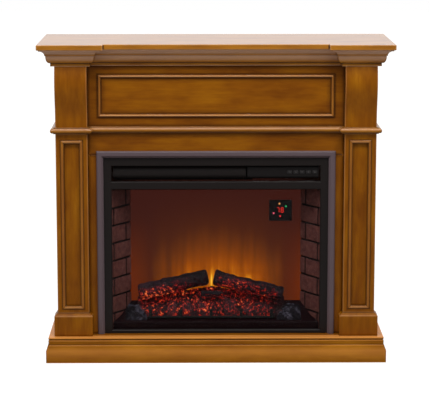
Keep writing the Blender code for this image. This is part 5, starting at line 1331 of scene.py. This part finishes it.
# %% Bark
def log_part(start, end, radius0, radius1, seed, sag=0.0, around=120, along=170,
             relief=2.6 * MM, knob=4.2 * MM):
    """Rings of radius (r(t) + bark) * close(t), where t runs along the axis. close falls from 1 to nearly
    0 over the last 12 mm at each end, by the two rows of numbers `edge` and `close`."""
    start, end = np.array(start, float), np.array(end, float)
    length = np.linalg.norm(end - start)
    axis = (end - start) / length
    side = np.cross(axis, [0, 0, 1])
    side /= np.linalg.norm(side)
    up = np.cross(side, axis)
    edge = np.array([0.0, 0.1, 0.5, 1.2, 2.2, 3.8, 6.0, 8.6, 12.0]) * radius0 / (25 * MM) * MM / length
    body = np.linspace(edge[-1] + 0.004, 0.996 - edge[-1], along)
    t = np.concatenate([edge, body, 1 - edge[::-1]])
    close = np.array([0.03, 0.36, 0.60, 0.74, 0.83, 0.90, 0.95, 0.98, 1.0])
    close = np.concatenate([close, np.ones(along), close[::-1]])
    turn = np.linspace(0, 2 * np.pi, around, endpoint=False)
    t, turn = np.meshgrid(t, turn, indexing="ij")
    radius = radius0 + (radius1 - radius0) * t
    wrap = np.stack([t * length, radius0 * np.cos(turn), radius0 * np.sin(turn)], -1)
    plates = np.abs(cloud(wrap * [0.42, 1, 1], 12 * MM, seed, 3))
    knobs = cloud(wrap, 26 * MM, seed + 4, 2)
    grit = cloud(wrap, 3.5 * MM, seed + 6, 2)
    crack = 1 - smooth_step(0.0, 0.11, plates)
    bark = relief * (np.minimum(plates, 0.35) * 2.4 - 0.45) + knob * knobs + 0.6 * MM * grit
    reach = (radius * 0.985 + bark) * close[:, None]
    centre = start + (end - start) * t[..., None] - up * sag * np.sin(np.pi * t)[..., None]
    points = centre + side * (reach * np.cos(turn))[..., None] + up * (reach * np.sin(turn))[..., None]
    upward = np.sin(turn)
    cut = 1 - smooth_step(0.7, 0.97, close)[:, None] * np.ones_like(turn)
    return points, t, upward, crack, knobs, cut


def log_piece(name, cad_node, start, end, r0, r1, seed, glow_of, tone_of, **more):
    """A log whose glow and tone come from two functions of the place on it."""
    points, t, upward, crack, knobs, cut = log_part(start, end, r0, r1, seed, **more)
    glow = glow_of(t, upward, crack, knobs) * (1 - cut)
    part = skin(points, glow=glow, tone=np.clip(tone_of(t, upward, knobs), 0, 1), crack=crack, cut=cut)
    return make_piece(name, [part], bark_paint, cad_node, sharp=1.4)


bark_paint, tree, shader = start_material("charred_bark", Roughness=0.72, Specular_IOR_Level=0.14)
spots = noise(tree, place_of(tree), 120.0, 4.0, 0.65)
tone = maths(tree, "MULTIPLY_ADD", spots, 0.55, maths(tree, "MULTIPLY", stored(tree, "tone"), 0.55))
skin_colour = ramp(tree, tone, (0.24, "#070507"), (0.46, "#120d11"), (0.66, "#24141a"), (0.86, "#432b32"))
skin_colour = blend(tree, stored(tree, "crack"), skin_colour, paint("#0c0607"))
skin_colour = blend(tree, stored(tree, "cut"), skin_colour, paint("#1b1314"))
tree.links.new(skin_colour, shader.inputs["Base Color"])
# Painted glow: the bark shines by itself, strongest on the undersides over the embers.
power = maths(tree, "MULTIPLY", stored(tree, "glow"), sparks(tree, 75.0, 150.0, 1.25))
fire = ramp(tree, power, (0.0, "#040102"), (0.14, "#2a0506"), (0.42, "#7c0e0a"),
            (0.74, "#d43814"), (1.0, "#ff9048"))
tree.links.new(fire, shader.inputs["Emission Color"])
shader.inputs["Emission Strength"].default_value = 1.0
bump(tree, shader, spots, 0.9 * MM, 0.8)

SET_MIDDLE = -15 * MM
LOG_R = 24.5 * MM
log_y = SCREEN_FRONT - 9.5 * MM - LOG_R
LOG_LOW, LOG_HIGH = (89 + 77.5) * MM + LOG_R, (89 + 126.5) * MM + LOG_R


def left_glow(t, up, crack, knobs):
    """Strong at the low outer end and underneath, gone towards the raised end."""
    under = 1 - smooth_step(-0.2, 0.98, up)
    return np.clip((0.45 + 0.55 * crack) * (1.1 - 1.15 * t + 0.35 * knobs) * under * 1.5, 0, 1)


def right_glow(t, up, crack, knobs):
    """All along the underside and the front, fading at both ends."""
    under = 1 - smooth_step(0.2, 1.1, up)
    ends = smooth_step(0, 0.12, t) * smooth_step(0, 0.22, 1 - t)
    return np.clip((0.50 + 0.50 * crack) * (0.70 + 0.55 * knobs) * under * ends, 0, 1)


def small_glow(t, up, crack, knobs):
    """Only in the cracks of the underside."""
    return np.clip(crack * 0.7 * (1 - smooth_step(-0.6, 0.6, up)), 0, 1)


left_foot = (SET_MIDDLE - 224.5 * MM, log_y, LOG_LOW)
left_head = (SET_MIDDLE - 9 * MM, log_y + 4 * MM, LOG_HIGH + 1.5 * MM)
log_piece("left_log", "log_left", left_foot, left_head, LOG_R, LOG_R, 3, left_glow,
          lambda t, up, knobs: 0.72 - 0.65 * t + 0.35 * knobs)
right_head = (SET_MIDDLE + 9 * MM, log_y + 4 * MM, LOG_HIGH + 1 * MM)
right_foot = (SET_MIDDLE + 224.5 * MM, log_y - 4 * MM, LOG_LOW)
log_piece("right_log", "log_right", right_head, right_foot, LOG_R, LOG_R * 0.80, 6, right_glow,
          lambda t, up, knobs: 0.38 + 0.36 * knobs, sag=4 * MM)
low, high = edges("log_small")
small_y, small_z = (low[1] + high[1]) / 2, (low[2] + high[2]) / 2
log_piece("small_log", "log_small", (low[0] + 1 * MM, small_y, small_z), (high[0] - 1 * MM, small_y, small_z),
          8.6 * MM, 8.2 * MM, 9, small_glow, lambda t, up, knobs: 0.35 + 0.3 * knobs,
          around=48, along=60, relief=1.1 * MM, knob=1.2 * MM)
print("three logs")

# %% [markdown]
# ## The grate
#
# A low cast bar with five stub posts stands before the embers. Castings have generous corners, and their
# skin is rough.

# %% Grate
iron, tree, shader = start_material(
    "black_cast_iron", Base_Color=paint("#0c0d0c"), Roughness=0.7, Specular_IOR_Level=0.2)
bump(tree, shader, noise(tree, place_of(tree), 220.0, 3.0), 0.25 * MM, 0.7)
grate_low, grate_high = edges("grate")
bar = board(rectangle(grate_low[1], grate_low[1] + 7 * MM, grate_low[2], grate_low[2] + 7 * MM),
            grate_low[0], grate_high[0], along_x, "x", 2 * MM, 2 * MM)
grate_parts = [bar]
POST = 9.5 * MM
for x in np.linspace(grate_low[0] + POST, grate_high[0] - POST, 5):
    outline = rectangle(x - POST / 2, x + POST / 2, grate_low[2] + GAP, grate_high[2])
    grate_parts.append(board(outline, -grate_high[1], -grate_low[1] - GAP, upright(0.0), "z",
                             1.6 * MM, 3.0 * MM))
make_piece("grate_casting", grate_parts, iron, "grate")
print("grate:", len(grate_parts), "bars and posts")

# %% [markdown]
# ## The display
#
# A small black module on the screen shows the temperature in two seven-segment digits, with four
# indicator lamps round them. Each segment is a thin bar with pointed ends. Which bars are lit comes from
# the digit's own row in a table.

# %% Display
low, high = edges("display_module")
case = board(rectangle(low[0], high[0], low[2], high[2]), -high[1], -low[1] - 0.5 * MM, upright(0.0), "x",
             0.8 * MM, 1.5 * MM)
SEGMENTS = {"7": "abc", "8": "abcdefg"}
DIGIT_WIDTH, DIGIT_HEIGHT, BAR = 6.6 * MM, 15.0 * MM, 1.4 * MM
lamp_y = -low[1] - 0.45 * MM


def segment(x, z, length, upright_bar):
    """A bar with pointed ends: a hexagon, long way up or across."""
    a, b = length / 2, BAR / 2
    hexagon = np.array([(-a, 0), (-a + b, -b), (a - b, -b), (a, 0), (a - b, b), (-a + b, b)])
    hexagon = hexagon[:, ::-1] if upright_bar else hexagon
    points = hexagon + [x, z]
    rings = [upright(0.0)(points[:, 0], points[:, 1], np.full(6, h)) for h in (lamp_y, lamp_y + 0.4 * MM)]
    return skin(rings)


def digit(character, x, z):
    """The lit bars of one digit round its middle."""
    w, h = DIGIT_WIDTH / 2, DIGIT_HEIGHT / 2
    bars = {"a": (0, h, 0), "b": (w, h / 2, 1), "c": (w, -h / 2, 1), "d": (0, -h, 0),
            "e": (-w, -h / 2, 1), "f": (-w, h / 2, 1), "g": (0, 0, 0)}
    parts = []
    for key in SEGMENTS[character]:
        dx, dz, standing = bars[key]
        length = (DIGIT_HEIGHT / 2 if standing else DIGIT_WIDTH) - 0.2 * MM
        parts.append(segment(x + dx, z + dz, length, standing))
    return parts


def lamp_glow(name, code, strength):
    """A lit lamp: dark plastic that shines by itself."""
    material, tree, shader = start_material(name, Base_Color=paint("#200505"), Roughness=0.4)
    shader.inputs["Emission Color"].default_value = paint(code)
    shader.inputs["Emission Strength"].default_value = strength
    return material


def dot(x, z, radius=2.7 * MM):
    """A small dome: rings of radius r sin(a) at a height r cos(a)."""
    rings = []
    for a in np.radians([90, 65, 40, 15, 3]):
        ring = arc((x, z), radius * math.sin(a), 0, 345, 23)
        level = lamp_y + 0.2 * MM + 0.35 * MM * math.cos(a)
        rings.append(upright(0.0)(ring[:, 0], ring[:, 1], np.full(24, level)))
    return skin(rings)


digits = digit("7", 193.2 * MM, 445.9 * MM) + digit("8", 206.0 * MM, 445.9 * MM)
display_black = moulded("display_black", "#0d0808", 0.3)
make_piece("display_case", [case], display_black, "display_module")
make_piece("display_digits", digits, lamp_glow("red_segments", "#ff2a20", 1.1))
for name, code, x, z in (("amber", "#ffb060", 197.5, 465.9), ("green", "#30c070", 217.6, 457.5),
                         ("rose", "#ff6078", 179.5, 435.9), ("red", "#f02830", 199.7, 426.8)):
    make_piece(f"lamp_{name}", [dot(x * MM, z * MM)], lamp_glow(f"{name}_lamp", code, 1.0))
print("pieces so far:", len(built), "with", sum(built.values()), "faces")

# %% [markdown]
# ## Camera, floor and light
#
# The fireplace is seen from the front with a long lens, from a little above the shelf. The floor and the
# surroundings are pale. The light is soft: a large panel above and in front, and a pale room behind the
# fireplace that the shelf's top mirrors. The room in front is dim, so that the lacquer stays rich.

# %% The camera
SENSOR = 36.0
VIEW_WIDTH = 430
FOCAL_LENGTH = 1799.5
lens_data = bpy.data.cameras.new("front_camera")
lens_data.sensor_width = SENSOR
lens_data.lens = SENSOR * FOCAL_LENGTH / VIEW_WIDTH
lens_data.shift_y = -25.0 / VIEW_WIDTH
lens_data.clip_start, lens_data.clip_end = 0.05, 60.0
camera = bpy.data.objects.new("front_camera", lens_data)
scene.collection.objects.link(camera)
camera.location = (-0.0532, -5.50, 1.4778)
camera.rotation_euler = (math.pi / 2 - 0.1677, 0.0, -0.0093)
scene.camera = camera
print("lens:", round(lens_data.lens, 1), "mm")

# %% The floor
floor_finish, tree, shader = start_material("pale_floor", Roughness=0.9, Specular_IOR_Level=0.0)
shader.inputs["Base Color"].default_value = (0.32, 0.32, 0.32, 1)
shader.inputs["Emission Color"].default_value = (1, 1, 1, 1)
lift = maths(tree, "MULTIPLY", node(tree, "LightPath").outputs["Is Camera Ray"], 0.84)
tree.links.new(lift, shader.inputs["Emission Strength"])
FLOOR_RADIUS = 14
FLOOR_POINTS = 96
turn = np.linspace(0, 2 * np.pi, FLOOR_POINTS, endpoint=False)
disc = np.stack([FLOOR_RADIUS * np.cos(turn), FLOOR_RADIUS * np.sin(turn), np.zeros(FLOOR_POINTS)], -1)
floor_mesh = bpy.data.meshes.new("floor")
floor_mesh.from_pydata(disc.tolist(), [], [list(range(FLOOR_POINTS))])
floor_mesh.materials.append(floor_finish)
floor = bpy.data.objects.new("floor", floor_mesh)
scene.collection.objects.link(floor)
print("floor disc:", FLOOR_POINTS, "points")

# %% The pale room: what the light sees and what the eye sees
world = bpy.data.worlds.new("pale_room")
scene.world = world
world.use_nodes = True
tree = world.node_tree
tree.nodes.clear()
direction = node(tree, "TexCoord").outputs["Generated"]
parts = node(tree, "SeparateXYZ", {0: direction})
behind = maths(tree, "MULTIPLY", between(tree, parts.outputs[1], -0.2, 0.5), 1.0)
above = maths(tree, "MULTIPLY_ADD", between(tree, parts.outputs[2], 0.15, 0.9), 0.65, 0.20)
glow = maths(tree, "MAXIMUM", behind, above)
room = node(tree, "Background", {"Color": (1, 1, 1, 1), "Strength": glow})
backdrop = node(tree, "Background", {"Color": (1, 1, 1, 1), "Strength": 1.0})
seen = node(tree, "LightPath").outputs["Is Camera Ray"]
both = node(tree, "MixShader", {0: seen, 1: room.outputs[0], 2: backdrop.outputs[0]})
node(tree, "OutputWorld", {"Surface": both.outputs[0]})
print("room:", world.name)

# %% The light panels
def panel(name, where, towards, width, height, power):
    """A soft rectangular light that faces a point."""
    data = bpy.data.lights.new(name, "AREA")
    data.shape = "RECTANGLE"
    data.size, data.size_y, data.energy = width, height, power
    lamp = bpy.data.objects.new(name, data)
    scene.collection.objects.link(lamp)
    lamp.location = where
    lamp.rotation_euler = (Vector(towards) - Vector(where)).to_track_quat("-Z", "Y").to_euler()
    return lamp


panel("top_panel", (0.0, -1.5, 2.9), (0, 0, 0.6), 2.2, 0.7, 56.0)
panel("left_panel", (-2.6, -2.2, 1.9), (0, 0, 0.6), 0.7, 2.0, 15.0)
panel("right_panel", (2.6, -2.2, 1.9), (0, 0, 0.6), 0.7, 2.0, 15.0)
scene.view_settings.view_transform = "Standard"
scene.view_settings.look = "None"
print("light panels:", len(bpy.data.lights))
